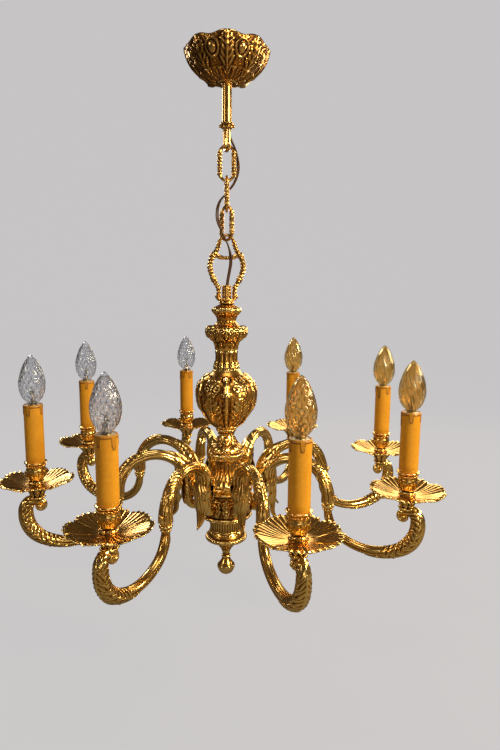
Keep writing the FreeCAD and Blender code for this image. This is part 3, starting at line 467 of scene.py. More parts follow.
def turnedPart(outer, bore, ornament=None, steps=180, pitch=0.8, wear=0.8):
    # a casting turned about a bore from its outer corners, top down, with its ornament raised on it
    grid = raisedSkin(sampleOutline(outer, pitch), ornament, steps)
    if bore == 0:
        return gridPart(grid, capStart=outer[0][0] > 0, capEnd=outer[-1][0] > 0, wear=wear)
    angle = np.arange(steps) / steps * 2 * math.pi
    inner = [around(bore, angle, corner[1]) for corner in (outer[-1], outer[0])]
    return gridPart(np.concatenate([grid, inner]), wrapRows=True, wear=wear)


# One tree makes every ring of beads, reeds and studs.
def makeStudTree():
    tree = bpy.data.node_groups.new("studRing", "GeometryNodeTree")
    for label, kind, start in (("Count", "NodeSocketInt", 24), ("Ring Radius", "NodeSocketFloat", 0.02),
                               ("Level", "NodeSocketFloat", 0.0), ("Radial", "NodeSocketFloat", 0.001),
                               ("Wide", "NodeSocketFloat", 0.001), ("Tall", "NodeSocketFloat", 0.001),
                               ("Lean", "NodeSocketFloat", 0.0), ("Facets", "NodeSocketInt", 10),
                               ("Material", "NodeSocketMaterial", None)):
        socket = tree.interface.new_socket(label, in_out="INPUT", socket_type=kind)
        if start is not None:
            socket.default_value = start
    tree.interface.new_socket("Geometry", in_out="OUTPUT", socket_type="NodeSocketGeometry")
    given = tree.nodes.new("NodeGroupInput").outputs
    result = tree.nodes.new("NodeGroupOutput")
    ring = addNode(tree, "GeometryNodeMeshCircle", Vertices=given["Count"], Radius=given["Ring Radius"])
    ball = addNode(tree, "GeometryNodeMeshUVSphere", Segments=given["Facets"],
                   Rings=given["Facets"], Radius=1.0)
    outward = addNode(tree, "FunctionNodeAlignEulerToVector", {"axis": "X"},
                      Vector=addNode(tree, "GeometryNodeInputPosition").outputs[0])
    lean = addNode(tree, "ShaderNodeCombineXYZ", Y=given["Lean"])
    tilted = addNode(tree, "FunctionNodeRotateEuler", {"space": "LOCAL"})
    tree.links.new(outward.outputs[0], tilted.inputs["Rotation"])
    tree.links.new(lean.outputs[0], tilted.inputs["Rotate By"])
    shape = addNode(tree, "ShaderNodeCombineXYZ", X=given["Radial"], Y=given["Wide"], Z=given["Tall"])
    studs = addNode(tree, "GeometryNodeInstanceOnPoints", Points=ring.outputs["Mesh"],
                    Instance=ball.outputs["Mesh"],
                    Rotation=tilted.outputs[0], Scale=shape.outputs[0])
    rise = addNode(tree, "ShaderNodeCombineXYZ", Z=given["Level"])
    lifted = addNode(tree, "GeometryNodeTransform", Geometry=studs.outputs[0], Translation=rise.outputs[0])
    real = addNode(tree, "GeometryNodeRealizeInstances", Geometry=lifted.outputs[0])
    painted = addNode(tree, "GeometryNodeSetMaterial", Geometry=real.outputs[0], Material=given["Material"])
    tree.links.new(painted.outputs[0], result.inputs[0])
    return tree


studTree = makeStudTree()


def studRing(count, ringRadius, level, radial, wide=None, tall=None, lean=0.0, facets=9, shine=0.92):
    # the tree's result as a part in millimetres, its relief brighter on the outer side of each stud
    holder = bpy.data.objects.new("studHolder", bpy.data.meshes.new("studHolder"))
    bpy.context.scene.collection.objects.link(holder)
    modifier = holder.modifiers.new("studs", "NODES")
    modifier.node_group = studTree
    values = {"Count": count, "Ring Radius": ringRadius * mm, "Level": level * mm, "Radial": radial * mm,
              "Wide": (wide or radial) * mm, "Tall": (tall or radial) * mm, "Lean": lean, "Facets": facets,
              "Material": antiqueBrass}
    for socket in studTree.interface.items_tree:
        if socket.in_out == "INPUT":
            modifier[socket.identifier] = values[socket.name]
    mesh = bpy.data.meshes.new_from_object(holder.evaluated_get(bpy.context.evaluated_depsgraph_get()))
    verts = np.empty(len(mesh.vertices) * 3)
    mesh.vertices.foreach_get("co", verts)
    verts = verts.reshape(-1, 3) / mm
    faces = [tuple(face.vertices) for face in mesh.polygons]
    bpy.data.objects.remove(holder)
    bpy.data.meshes.remove(mesh)
    reach = (np.hypot(verts[:, 0], verts[:, 1]) - ringRadius) / radial
    return {"verts": verts, "quads": np.array([face for face in faces if len(face) == 4],
                                              dtype=int).reshape(-1, 4),
            "triangles": np.array([face for face in faces if len(face) == 3], dtype=int).reshape(-1, 3),
            "relief": np.clip(0.45 + 0.5 * reach, 0.05, shine)}


print("stage: tools")

# The column, from the bow's cup to the finial. Corners are (radius, level, bulge) from a piece's top.
column = {"bore": 4.05, "steps": 216, "finialSteps": 96}


def crownOrnament(angle, level):
    knop = band(level, -22, -6, 2.5)
    belly = band(level, -56, -38, 2.5)
    skirt = band(level, -68, -54, 2)
    raised = knop * (1.3 * gadroons(angle, 8) + 1.0 * ribs(angle, 8, 0.16, 0.5) + 0.5 * gadroons(angle, 24))
    raised += belly * (1.6 * scrolls(angle, level, 8, -45.5, 5.6, 30) + 1.3 * ribs(angle, 8, 0.09)
                       + 0.9 * panelLeaves(angle, level, 8, -38, -57, 3, 0.0, 0.5)
                       + 0.3 * gadroons(angle, 40))
    raised += skirt * 1.5 * panelLeaves(angle, level, 8, -52, -71, 3)
    raised += (band(level, -36, -23, 2) * 0.9 * gadroons(angle, 12)
               + band(level, -76, -62, 2) * 0.9 * ribs(angle, 12, 0.34))
    return raised


def neckOrnament(angle, level):
    flutes = band(level, -27, 1, 1.0) * 1.3 * ribs(angle, 12, 0.36)
    return flutes + 1.1 * panelLeaves(angle, level, 12, -31, -17, 2, 0.0)


def vaseOrnament(angle, level):
    seams = 1.5 * ribs(angle, 6, 0.050) + 0.8 * ribs(angle, 6, 0.11)
    border = band(level, -16, -9, 1.4) * 1.7 * panelLeaves(angle, level, 18, -17.5, -8, 1, 0.0)
    shoulder = band(level, -38, -15, 2) * (1.6 * scrolls(angle, level, 6, -25, 7.5, 42)
                                           + 1.1 * scrolls(angle, level, 12, -34, 4.5, 45, 0.0)
                                           + 0.9 * panelLeaves(angle, level, 6, -40, -14, 3, 0.5, 0.5))
    belly = band(level, -76, -36, 3) * (1.1 * panelLeaves(angle, level, 6, -82, -38, 5, 0.5, 0.72)
                                        + 0.7 * panelLeaves(angle, level, 12, -70, -38, 4, 0.25, 0.6))
    fan = band(level, -62, -36, 2) * 0.35 * gadroons(angle, 60) * ribs(angle, 6, 0.36, 0.5)
    foot = band(level, -86, -76, 2) * 0.8 * gadroons(angle, 24)
    return seams * band(level, -88, -9, 2) + border + shoulder + belly + fan + foot


def collarOrnament(angle, level):
    return band(level, -11, -1, 1) * 0.9 * gadroons(angle, 18)


def bellOrnament(angle, level):
    leaves = band(level, -22, -2, 1.5) * 1.6 * panelLeaves(angle, level, 8, -22, -3, 3, 0.0)
    return (leaves + band(level, -34, -27, 1)
            * (0.8 * gadroons(angle, 24) + 1.5 * panelLeaves(angle, level, 12, -26, -35, 2)))


def flareOrnament(angle, level):
    flutes = band(level, -44, -8, 3) * 1.5 * gadroons(angle, 16)
    return (flutes + band(level, -51, -44, 1) * 0.5 * gadroons(angle, 48)
            + band(level, -8, -1, 1) * gadroons(angle, 24))


def drumOrnament(angle, level):
    vines = band(level, -38, -7, 1.5) * (1.5 * panelLeaves(angle, level, 16, -38, -8, 4, 0.0)
                                         + 1.3 * scrolls(angle, level, 16, -16, 6, 39, 0.5)
                                         + 1.1 * scrolls(angle, level, 16, -30, 5, 39, 0.5))
    return vines + band(level, -44, -41, 0.6) * 0.7 * gadroons(angle, 64)


def basketOrnament(angle, level):
    return band(level, -22, -6, 1.2) * 0.8 * gadroons(angle, 40)


def dishOrnament(angle, level):
    return (band(level, -16, -8.5, 1) * 0.9 * gadroons(angle, 32)
            + band(level, -31, -19, 2) * 0.8 * gadroons(angle, 16))


columnOutlines = {
    "crown": (crownOrnament, [
        (9.3, 0, 0), (11.2, -0.6, 0.5), (11.2, -3.6, 0), (9.8, -4.4, 0), (10.4, -6, -0.1),
        (20.2, -11.6, 0.5), (20.0, -16, -0.1), (14.6, -25.5, 0), (13.6, -29, -0.1), (15.6, -34, -0.2),
        (26.4, -38.5, 0.25), (30.2, -44, 0.2), (28.6, -53, 0.1), (20.6, -61, -0.12), (17.8, -67, 0),
        (16.9, -75, 0)]),
    "fluted_neck": (neckOrnament, [
        (16.9, 0, 0), (15.9, -6, -0.03), (16.3, -19, -0.08), (20.4, -30, 0)]),
    "vase": (vaseOrnament, [
        (20.4, 0, -0.10), (28.5, -9.5, -0.05), (36.5, -13.6, 0.24), (44.6, -25, 0.14),
        (46.2, -45, 0.16), (38.6, -66, 0.08), (27.6, -81, -0.05), (21.4, -86, 0), (19.6, -87.4, 0.5),
        (19.4, -91, 0), (16, -92, 0)]),
    "vase_collar": (collarOrnament, [
        (13.4, 0, 0), (14.8, -1.4, 0.5), (14.4, -5, -0.2), (12.2, -8.5, 0), (12.6, -10, 0.4),
        (11.1, -12, 0)]),
    "bell": (bellOrnament, [
        (11.2, 0, 0), (12.2, -2.4, -0.12), (20.6, -16, 0.1), (24.4, -20.6, 0), (25.2, -23.4, 0.2),
        (25.6, -26.4, 0.1), (27.4, -29.6, 0.2), (23.5, -35, 0)]),
    "flare": (flareOrnament, [
        (22.6, 0, 0), (21.6, -3, -0.2), (16.2, -12, -0.12), (15.2, -20, -0.14), (19.6, -33, -0.10),
        (26.8, -41.6, 0), (28.4, -42.8, 0.5), (27.6, -45.4, 0), (24.2, -46.4, 0), (24.6, -49.6, 0),
        (26.4, -51.7, 0)]),
    "hub_drum": (drumOrnament, [
        (36.2, 0, 0), (40.2, -1, 0.3), (40.0, -3.2, 0), (38.4, -4.6, 0), (38.6, -20, 0),
        (38.2, -39.6, 0), (40.2, -40.8, 0.4), (40.4, -44, 0), (39.6, -45, 0)]),
    "basket": (basketOrnament, [
        (39.6, 0, 0), (38.4, -2, 0), (28.2, -3.4, -0.2), (26.0, -6, 0), (24.9, -21.5, 0),
        (26.2, -22.8, 0.4), (24.6, -25, 0)]),
    "dish": (dishOrnament, [
        (24.6, 0, 0), (26.6, -3.0, 0), (28.4, -7, -0.1), (31.6, -9.4, 0.5), (31.2, -14.6, 0.1),
        (22.4, -17.6, -0.15), (10.4, -29.4, 0), (8.2, -32.6, 0.3), (7.6, -35, 0), (6.6, -37.7, 0)]),
    "finial": (None, [
        (6.6, 0, -0.1), (5.3, -5.6, 0), (7.2, -6.6, 0.7), (6.9, -9.2, 0), (5.8, -10, -0.1),
        (13.9, -22.6, 0.25), (12.9, -29.6, 0.26), (4.8, -38.2, 0.1), (0, -41, 0)]),
}
columnStuds = {  # count, ring radius, level, stud radius outward, around and up, lean, facets
    "crown": [(14, 13.2, -29.6, 1.2)],
    "vase": [(30, 19.8, -89.2, 1.1)],
    "bell": [(34, 25.2, -23.6, 1.7)],
    "flare": [(60, 28.2, -44.0, 0.8)],
    "hub_drum": [(64, 40.1, -2.2, 1.5)],
    "basket": [(36, 24.6, -24.0, 1.2), (40, 25.4, -13.4, 1.1, 1.5, 7.6, 0.07, 8)],
    "dish": [(36, 26.2, -2.6, 1.6)],
}


def buildColumn():
    for node, (ornament, outline) in columnOutlines.items():
        bore = 0 if node == "finial" else column["bore"]
        steps = column["finialSteps" if node == "finial" else "steps"]
        parts = [turnedPart(outline, bore, ornament, steps)]
        parts += [studRing(*row) for row in columnStuds.get(node, [])]
        shift = (0, 0, topOf(node))
        material = smoothBrass if node == "finial" else antiqueBrass
        buildPiece(node + "Cast", [moved(part, 0, shift) for part in parts], material, "fixture", (node,))


buildColumn()
print("stage: column")

# The arms: a fluted tube along a double curve, with leaves, a ferrule, a scroll and a cup for the pan.
arm = {"count": 8, "first": -73.3, "start": 41.3, "leg": 62.0, "foot": 12.0, "arch": 54.0, "rise": 32.0,
       "level": 16.0, "corner": 45.0, "cornerTurn": 60.0, "swoop": 84.0, "tip": 16.0, "tipLevel": 20.0,
       "ring": 283.0, "tenonDrop": 22.3, "cupTop": 56.0, "pitch": 1.45, "steps": 54}
armLevel = topOf("hub_drum") - arm["tenonDrop"]
panLevel = armLevel + arm["cupTop"]
turns = [math.radians(arm["first"] + 360 / arm["count"] * number) for number in range(arm["count"])]


def arcPoints(across, up, radius, first, last, pitch):
    count = max(4, int(abs(math.radians(last - first)) * radius / pitch))
    angle = np.radians(np.linspace(first, last, count, endpoint=False))
    return np.stack([across + radius * np.cos(angle), up + radius * np.sin(angle)], 1)


def armLine():
    # the centre line in the arm's own plane: (outward, up) points, evenly spaced
    pitch, corner = arm["pitch"] / 3, arm["cornerTurn"]
    drop = arm["leg"] + 2 * arm["arch"]
    tipAt = arm["ring"] + arm["tip"]
    middle = (drop + tipAt) / 2
    swoopUp = arm["level"] + (arm["swoop"] - arm["corner"]) * math.sin(math.radians(corner))
    runs = [
        np.array([[arm["start"], 0]]),
        arcPoints(arm["leg"] - arm["foot"], arm["foot"], arm["foot"], -90, 0, pitch),
        arcPoints(arm["leg"] + arm["arch"], arm["rise"], arm["arch"], 180, 0, pitch),
        np.array([[drop, arm["rise"]]]),
        arcPoints(drop + arm["corner"], arm["level"], arm["corner"], 180, 180 + corner, pitch),
        arcPoints(middle, swoopUp, arm["swoop"], 180 + corner, 360 - corner, pitch),
        arcPoints(tipAt - arm["corner"], arm["level"], arm["corner"], 360 - corner, 360, pitch),
        arcPoints(arm["ring"], arm["tipLevel"], arm["tip"], 0, 90, pitch),
        np.array([[arm["ring"], arm["tipLevel"] + arm["tip"]]])]
    points = np.vstack(runs)
    lengths = lengthsOf(points)
    even = np.arange(0, lengths[-1], arm["pitch"] / 3)
    line = alongLine(even, lengths, points)
    heading = unit(np.gradient(line, axis=0))
    return {"station": even, "place": line, "side": np.stack([heading[:, 1], -heading[:, 0]], 1)}


line = armLine()
armLength = line["station"][-1]


def onTube(station, angle, radius):
    # points around the centre line, angle 0 being under the swoop and inside the arch
    place = alongLine(station, line["station"], line["place"])
    side = alongLine(station, line["station"], line["side"])
    outward = place + side * (radius * np.cos(angle))[..., None]
    return np.stack([outward[..., 0], radius * np.sin(angle), outward[..., 1]], -1)


def tubeRadius(station):
    marks = [0, 3, 5, 55, 205, 222, 230, 239, 249, 316, 350, 385, 420, armLength]
    sizes = [8.8, 8.8, 7.0, 7.2, 7.0, 7.0, 6.4, 5.8, 5.8, 6.2, 7.2, 8.2, 7.6, 6.6]
    return np.interp(station, marks, sizes)


def tubeOrnament(station, angle):
    # flutes on the arch, then rails over a herringbone, then leafy scales on the outer curve
    arch = band(station, 26, 226, 6) * 0.85 * np.sqrt(np.abs(np.cos(angle * 4.5)))
    under = 1 - ramp(np.abs(angle), 1.15, 1.3)
    feather = 0.5 + 0.5 * np.cos(2 * math.pi * (station / 4.4 - np.abs(angle) * 1.1))
    scales = np.mod(station / 7.5 - np.abs(angle) * 0.9, 1.0)
    swoop = (band(station, 241, 346, 5)
             * (under * 0.8 * feather + (1 - under) * np.sqrt(np.abs(np.cos(angle * 3)))))
    rim = ramp(np.abs(angle), 1.08, 1.2) * (1 - ramp(np.abs(angle), 1.3, 1.42))
    outer = band(station, 346, 442, 6) * (1.3 * scales + 0.9 * np.exp(-(angle / 0.14) ** 2))
    return arch + swoop + band(station, 241, 352, 5) * 0.9 * rim + outer


def armTube():
    station = np.arange(0, armLength, arm["pitch"])[:, None]
    angle = (np.arange(arm["steps"]) / arm["steps"] * 2 * math.pi - math.pi)[None, :]
    station, angle = np.broadcast_arrays(station, angle)
    return gridPart(onTube(station, angle, tubeRadius(station) + tubeOrnament(station, angle)),
                    capStart=True,
                    capEnd=True)


def wrapLeaf(root, tip, middle, spread, lift, bulge, lobes, thick=1.4, rows=64, blunt=0.0, vein=0.3):
    # a leaf that lies around the tube from root to tip (stations), with toothed edges and raised veins
    share = np.linspace(0.0, 1.0, rows)[:, None]
    across = np.linspace(-1, 1, 33)[None, :]
    teeth = np.abs(np.sin(math.pi * lobes * share))
    outline = np.clip(np.sin(math.pi * (0.10 + 0.90 * share)), 0.02, 1) ** 0.6
    outline = np.maximum(outline, blunt) * (0.78 + 0.22 * teeth)
    side = np.abs(across)
    veins = np.cos(2 * math.pi * (lobes * 2 * share - side * 1.6))
    raised = lift + bulge * np.sin(math.pi * share) + vein * veins * (1 - np.exp(-(side / 0.1) ** 2))
    raised = raised + 0.8 * np.exp(-(side / 0.09) ** 2) - 0.5 * side ** 2
    station = root + (tip - root) * (share + 0.05 * side * (1 - share)) + 0 * across
    angle = middle + across * spread * outline
    top = onTube(station, angle, tubeRadius(station) + raised)
    hidden = across[:, ::-4]
    inward = station[:, ::-4]
    low = onTube(inward, middle + hidden * spread * outline,
                 tubeRadius(inward) + np.clip(raised[:, ::-4] - thick, -0.8, None))
    part = gridPart(np.concatenate([top, low], axis=1), capStart=True, capEnd=True, wear=0.9, passes=5)
    return {**part, "relief": np.clip(part["relief"] + 0.10, 0, 1)}


def skirt(start, end, low, high, lobes, depth):
    # a ruffled leaf sleeve around the tube that opens towards its end
    share = np.linspace(0, 1, 46)[:, None]
    angle = (np.arange(96) / 96 * 2 * math.pi - math.pi)[None, :]
    petal = np.sqrt(np.abs(np.cos(angle * lobes / 2)))
    finish = end + depth * petal * (1 if end > start else -1)
    station = start + (finish - start) * share
    veins = 0.3 * np.cos(angle * lobes * 3) * share
    radius = low + (high - low) * share ** 1.4 + 1.3 * petal * ramp(share, 0, 0.5) + veins
    outer = onTube(station, angle + 0 * share, radius)
    inner = onTube((finish + (start - finish) * 0.35) + 0 * share[:8], angle + 0 * share[:8],
                   tubeRadius(start + 0 * angle) - 1 + 0 * share[:8])
    lip = onTube(finish, angle, radius[-1:] - 1.1)
    return gridPart(np.concatenate([outer, lip, inner[:1]]), wrapRows=True, wear=0.8)


def freeLeaf(points, width, lobes, cup, thick=1.5):
    # a leaf along a drawn line in the arm's plane, curled across, with toothed edges and veins
    points = smoothLine(points)
    lengths = lengthsOf(points)
    share = np.linspace(0, 1, 44)
    centre = alongLine(share * lengths[-1], lengths, points)
    heading = unit(np.gradient(centre, axis=0))
    normal = np.stack([-heading[:, 1], heading[:, 0]], 1)
    across = np.linspace(-1, 1, 27)[None, :]
    share = share[:, None]
    outline = np.clip(np.sin(math.pi * (0.24 + 0.76 * share)), 0.02, 1) ** 0.85
    half = width * outline * (0.76 + 0.24 * np.abs(np.sin(math.pi * lobes * share)))
    side = np.abs(across)
    raised = 0.5 * np.cos(2 * math.pi * (side * 3.2 - share * lobes)) * (1 - share) ** 0.5
    raised = raised + 0.9 * np.exp(-(side / 0.1) ** 2) + 0 * share
    raised = raised - cup * side ** 2 * half

    def sheetAt(columns, drop):
        height = (raised[:, columns] - drop)[..., None] * normal[:, None, :]
        flat = centre[:, None, :] + height
        return np.stack([flat[..., 0], (across * half)[:, columns], flat[..., 1]], -1)

    every = np.arange(27)
    skin = np.concatenate([sheetAt(every, 0), sheetAt(every[::-3], thick)], axis=1)
    part = gridPart(skin, capStart=True, capEnd=True, wear=0.9, passes=5)
    return {**part, "relief": np.clip(part["relief"] + 0.08, 0.15, 1)}


def ballPart(centre, radii, steps=28):
    angle = np.arange(steps) / steps * 2 * math.pi
    tilt = np.linspace(0.08, math.pi - 0.08, steps // 2)[:, None]
    x, y, z = radii
    grid = np.stack([centre[0] + x * np.sin(tilt) * np.cos(angle),
                     centre[1] + y * np.sin(tilt) * np.sin(angle),
                     centre[2] + z * np.cos(tilt) + 0 * angle], -1)
    part = gridPart(grid, capStart=True, capEnd=True)
    return {**part, "relief": np.full(len(part["relief"]), 0.72)}


def sweepPart(points, radii, steps=20, flat=1.0, ornament=None, closed=False):
    # a tube through 3-D points, its sideways radius scaled by flat
    points = np.array(points, dtype=float)
    heading = unit(np.roll(points, -1, 0) - np.roll(points, 1, 0) if closed
                   else np.gradient(points, axis=0))
    across = unit(np.array([0.0, 1.0, 0.0]) - heading * heading[:, 1:2])
    outward = np.cross(heading, across)
    angle = (np.arange(steps) / steps * 2 * math.pi)[None, :]
    radius = np.broadcast_to(np.reshape(radii, (-1, 1)), (len(points), steps)).copy()
    if ornament:
        share = (np.arange(len(points)) / len(points))[:, None]
        radius += ornament(share + 0 * angle, angle + 0 * share)
    grid = (points[:, None] + (radius * np.cos(angle))[..., None] * outward[:, None]
            + (radius * flat * np.sin(angle))[..., None] * across[:, None])
    return gridPart(grid, wrapRows=closed, capStart=not closed, capEnd=not closed, wear=0.7, passes=5)


scroll = {"centre": (279.5, 25.5), "outer": 8.6, "inner": 2.4, "turns": 1.3, "thick": 3.9, "thin": 2.4}


def scrollPart():
    share = np.linspace(0, 1, 60)
    angle = math.radians(40) + share * scroll["turns"] * 2 * math.pi
    reach = scroll["outer"] + (scroll["inner"] - scroll["outer"]) * share ** 0.8
    points = np.stack([scroll["centre"][0] + reach * np.cos(angle), 0 * share,
                       scroll["centre"][1] + reach * np.sin(angle)], 1)
    size = scroll["thick"] + (scroll["thin"] - scroll["thick"]) * share
    return sweepPart(points, size, 20, 1.45)


def calyxOrnament(angle, level):
    return (1.5 * panelLeaves(angle, level, 8, 38, 55, 4, 0.0)
            + band(level, 35.4, 40, 1) * 0.7 * gadroons(angle, 16))


def armParts():
    tip = arm["tipLevel"] + arm["tip"]
    calyx = turnedPart([(14.6, arm["cupTop"], 0), (15.8, arm["cupTop"] - 1.4, 0), (13.2, 50.5, -0.12),
                        (8.6, 43, 0),
                        (7.6, 40.5, 0), (9.0, 39.2, 0.6), (8.8, 36.6, 0), (7.2, 35.4, 0),
                        (7.0, tip - 4, 0)],
                       5.2, calyxOrnament, 72)
    parts = [armTube(), moved(calyx, 0, (arm["ring"], 0, 0)), scrollPart(),
             ballPart((scroll["centre"][0], 0, scroll["centre"][1]), (5.0, 8.4, 5.0))]
    # leaves: behind the inner limb, its drooping tip, the sleeve over the drop, and the outer curve
    parts.append(wrapLeaf(113, 28, math.pi, 1.9, 1.2, 5.5, 5))
    parts.append(wrapLeaf(70, 22, 0.0, 1.5, 1.2, 1.0, 4, blunt=0.3))
    parts.append(freeLeaf([(84, 74), (82, 58), (86, 40), (87, 22), (84, 6), (85, -6), (91, -15)],
                          15.0, 4, 0.66))
    parts.append(skirt(172, 219, 7.4, 8.9, 8, 3.5))
    parts.append(wrapLeaf(204, 140, math.pi, 1.3, 1.6, 0.8, 5))
    parts.append(wrapLeaf(436, 318, 0.0, 1.7, 1.5, 1.3, 10, vein=0.55))
    parts.append(wrapLeaf(438, 372, math.pi, 1.15, 1.0, 0.5, 5))
    # ferrule rings, its curl, and the point under the curve
    for station, size, half in ((222, 8.4, 1.6), (227.5, 9.2, 2.4), (232.5, 7.9, 1.5)):
        angle = (np.arange(48) / 48 * 2 * math.pi)[None, :]
        roll = (np.arange(14) / 14 * 2 * math.pi)[:, None]
        ring = onTube(station + half * np.sin(roll) + 0 * angle, angle + 0 * roll,
                      size - 1.4 + 1.4 * np.cos(roll) + 0 * angle)
        parts.append(gridPart(ring, wrapRows=True))
    drop = arm["leg"] + 2 * arm["arch"]
    parts.append(ballPart((drop + 10.5, 0, 36), (3.2, 3.2, 3.2), 20))
    parts.append(sweepPart([(drop + 5, 0, 28), (drop + 8, 0, 31), (drop + 10, 0, 35)], [2.6, 2.4, 2.0], 14))
    base = onTube(np.array([355.0]), np.array([0.0]), np.array([6.5]))[0]
    nub = [base + np.array([0.8 * step, 0, -1.5 * step]) for step in range(4)]
    parts.append(sweepPart(nub, [3.4, 3.2, 2.5, 1.3], 14))
    return parts


def joined(parts):
    base, quads, triangles = 0, [], []
    for part in parts:
        quads.append(part["quads"] + base)
        triangles.append(part["triangles"] + base)
        base += len(part["verts"])
    whole = {key: np.concatenate([part[key] for part in parts])
             for key in parts[0] if key not in ("quads", "triangles")}
    return {**whole, "quads": np.vstack(quads), "triangles": np.vstack(triangles)}


def buildArms():
    whole = joined(armParts())
    for number, turn in enumerate(turns, start=1):
        part = moved(whole, turn, (0, 0, armLevel))
        buildPiece(f"armCast_{number}", [part], antiqueBrass, "fixture", (f"arm_{number}",))


buildArms()
print("stage: arms")

# Drip pans: thin fluted dishes with eight broad lobes and a toothed rim.
pan = {"radius": 52.0, "seat": 13.0, "depth": 9.6, "lobes": 8, "flutes": 40, "lobeRise": 0.9,
       "fluteRise": 0.36,
       "tooth": 2.6, "notch": 4.0, "fold": 1.1, "thick": 1.2, "turn": 0.35}


def panPart():
    angle = (np.arange(pan["flutes"] * 6) / (pan["flutes"] * 6) * 2 * math.pi)[None, :]
    wave = np.cos(pan["lobes"] * (angle + pan["turn"]))
    lobe = np.abs(np.cos(pan["lobes"] * (angle + pan["turn"]) / 2))
    flute = np.abs(np.cos(pan["flutes"] * angle / 2))
    rim = pan["radius"] - pan["notch"] * (1 - lobe) ** 3 - pan["tooth"] * (1 - flute ** 0.7)
    share = np.concatenate([np.linspace(0, 1, 40), np.linspace(1, 0, 14)])[:, None]
    lower = (np.arange(len(share)) >= 40)[:, None]
    radius = 5.1 + (rim - 5.1) * share
    rise = ramp(radius, pan["seat"] - 2, pan["radius"] * 1.35) * pan["depth"] * 1.28
    height = 1.5 + rise + pan["lobeRise"] * share ** 3 * wave
    height += pan["fluteRise"] * ramp(share, 0.15, 0.6) * (flute - 0.5) * 2
    height += 0.35 * ramp(share, 0.5, 0.9) * np.cos(angle * pan["flutes"] * 2)
    height -= pan["fold"] * np.exp(-(lobe / 0.16) ** 2) * ramp(share, 0.12, 0.5)
    height -= 1.4 * ramp(share, 0.86, 1.0) ** 2
    height = np.where(lower, height - pan["thick"], height)
    part = gridPart(around(radius, angle, height), wrapRows=True, wear=0.9)
    return {**part, "relief": np.clip(part["relief"] + 0.08, 0, 1)}


def buildPans():
    dish = panPart()
    for number, turn in enumerate(turns, start=1):
        part = moved(moved(dish, 0.5 * number), 0, (0, 0, panLevel))
        part = moved(part, turn, (arm["ring"], 0, 0))
        buildPiece(f"dripDish_{number}", [part], antiqueBrass, "fixture", (f"drip_pan_{number}",))


buildPans()

# Candle cups: a ribbed baluster with a rolled lip and a row of beads under it.
cup = {"top": 36.0, "lip": 14.9, "steps": 84}


def cupOrnament(angle, level):
    belly = (band(level, 9, 25, 2)
             * (1.0 * gadroons(angle, 12) + 0.6 * panelLeaves(angle, level, 12, 8, 27, 3)))
    return belly + band(level, 2, 7, 0.8) * 0.6 * gadroons(angle, 24) + band(level, 31.5, 33, 0.5) * 0.3


def buildCups():
    body = turnedPart([(13.0, cup["top"], 0), (cup["lip"], cup["top"] - 0.5, 0.7),
                       (cup["lip"], cup["top"] - 2.6, 0),
                       (13.4, 32.2, 0), (12.9, 30.8, 0), (12.6, 28, 0.05), (12.6, 22, 0.16),
                       (9.6, 10, -0.12), (8.6, 7.4, 0),
                       (10.4, 6.2, 0.4), (10.4, 4.4, 0), (9.4, 3.4, 0), (12.2, 1.5, 0)], 5.1, cupOrnament,
                      cup["steps"], 0.7)
    whole = joined([body, studRing(26, 12.9, 29.6, 1.1)])
    cups = [moved(whole, turn, (arm["ring"], 0, panLevel)) for turn in turns]
    buildPiece("candleCupCast", cups, antiqueBrass, "fixture", ("candle_cups",))


buildCups()
print("stage: pans and cups")

# Candle sleeves: tubes with wax drips that run from the rim.
sleeve = {"radius": 12.9, "wall": 1.2, "foot": 33.0, "top": 118.0, "drips": 5, "steps": 120, "seed": 11}


def sleevePart(number):
    chance = np.random.default_rng(sleeve["seed"] + number)
    angle = (np.arange(sleeve["steps"]) / sleeve["steps"] * 2 * math.pi)[None, :]
    centres = (np.arange(sleeve["drips"])
               + chance.uniform(-0.22, 0.22, sleeve["drips"])) * 2 * math.pi / sleeve["drips"]
    depths = chance.uniform(7.0, 17.0, sleeve["drips"])
    depths[::2] = np.minimum(depths[::2], 10.0)
    widths = chance.uniform(2.2, 3.6, sleeve["drips"])
    fall = 3.0 + 0 * angle
    for centre, depth, width in zip(centres, depths, widths):
        offset = (np.mod(angle - centre + math.pi, 2 * math.pi) - math.pi) * sleeve["radius"] / width
        fall = np.maximum(fall, 3.0 + depth * np.clip(1 - offset ** 2, 0, 1) ** 0.5)
    height = np.concatenate([np.linspace(0, 21, 50),
                             np.linspace(24, sleeve["top"] - sleeve["foot"], 6)])[:, None]
    slope = np.gradient(fall, axis=1) / (2 * math.pi * sleeve["radius"] / sleeve["steps"])
    edge = (height - fall) / np.sqrt(1 + slope ** 2)
    stain = np.maximum(np.exp(-(edge / 0.7) ** 2), 0.35 * (edge < 0))
    radius = sleeve["radius"] + 0.5 * np.exp(-(edge / 0.9) ** 2) + 0.18 * (edge < 0)
    radius = radius - 0.6 * np.exp(-(height / 0.6) ** 2)
    level = sleeve["top"] - height + 0 * angle
    bore = sleeve["radius"] - sleeve["wall"]
    rings = [around(bore, angle[0], up) for up in (sleeve["foot"], sleeve["top"])]
    part = gridPart(np.concatenate([around(radius, angle, level), rings]), wrapRows=True)
    drip = np.concatenate([stain.reshape(-1), np.zeros(2 * sleeve["steps"])])
    return {**part, "drip": drip}


def buildSleeves():
    parts = [moved(sleevePart(number), turn, (arm["ring"], 0, panLevel))
             for number, turn in enumerate(turns)]
    buildPiece("candleSleeveWax", parts, candleWax, "fixture", ("candle_sleeves",), extra="drip")


buildSleeves()

# Lamps: cut-glass flames on screw caps, with a stem and a filament inside.
lamp = {"length": 70.0, "belly": 17.2, "cap": 6.9, "wall": 1.1, "cuts": 8, "twist": 2.7, "cutDepth": 0.95,
        "steps": 112, "warm": (1, 2, 3, 4), "twisted": (2, 3, 4)}


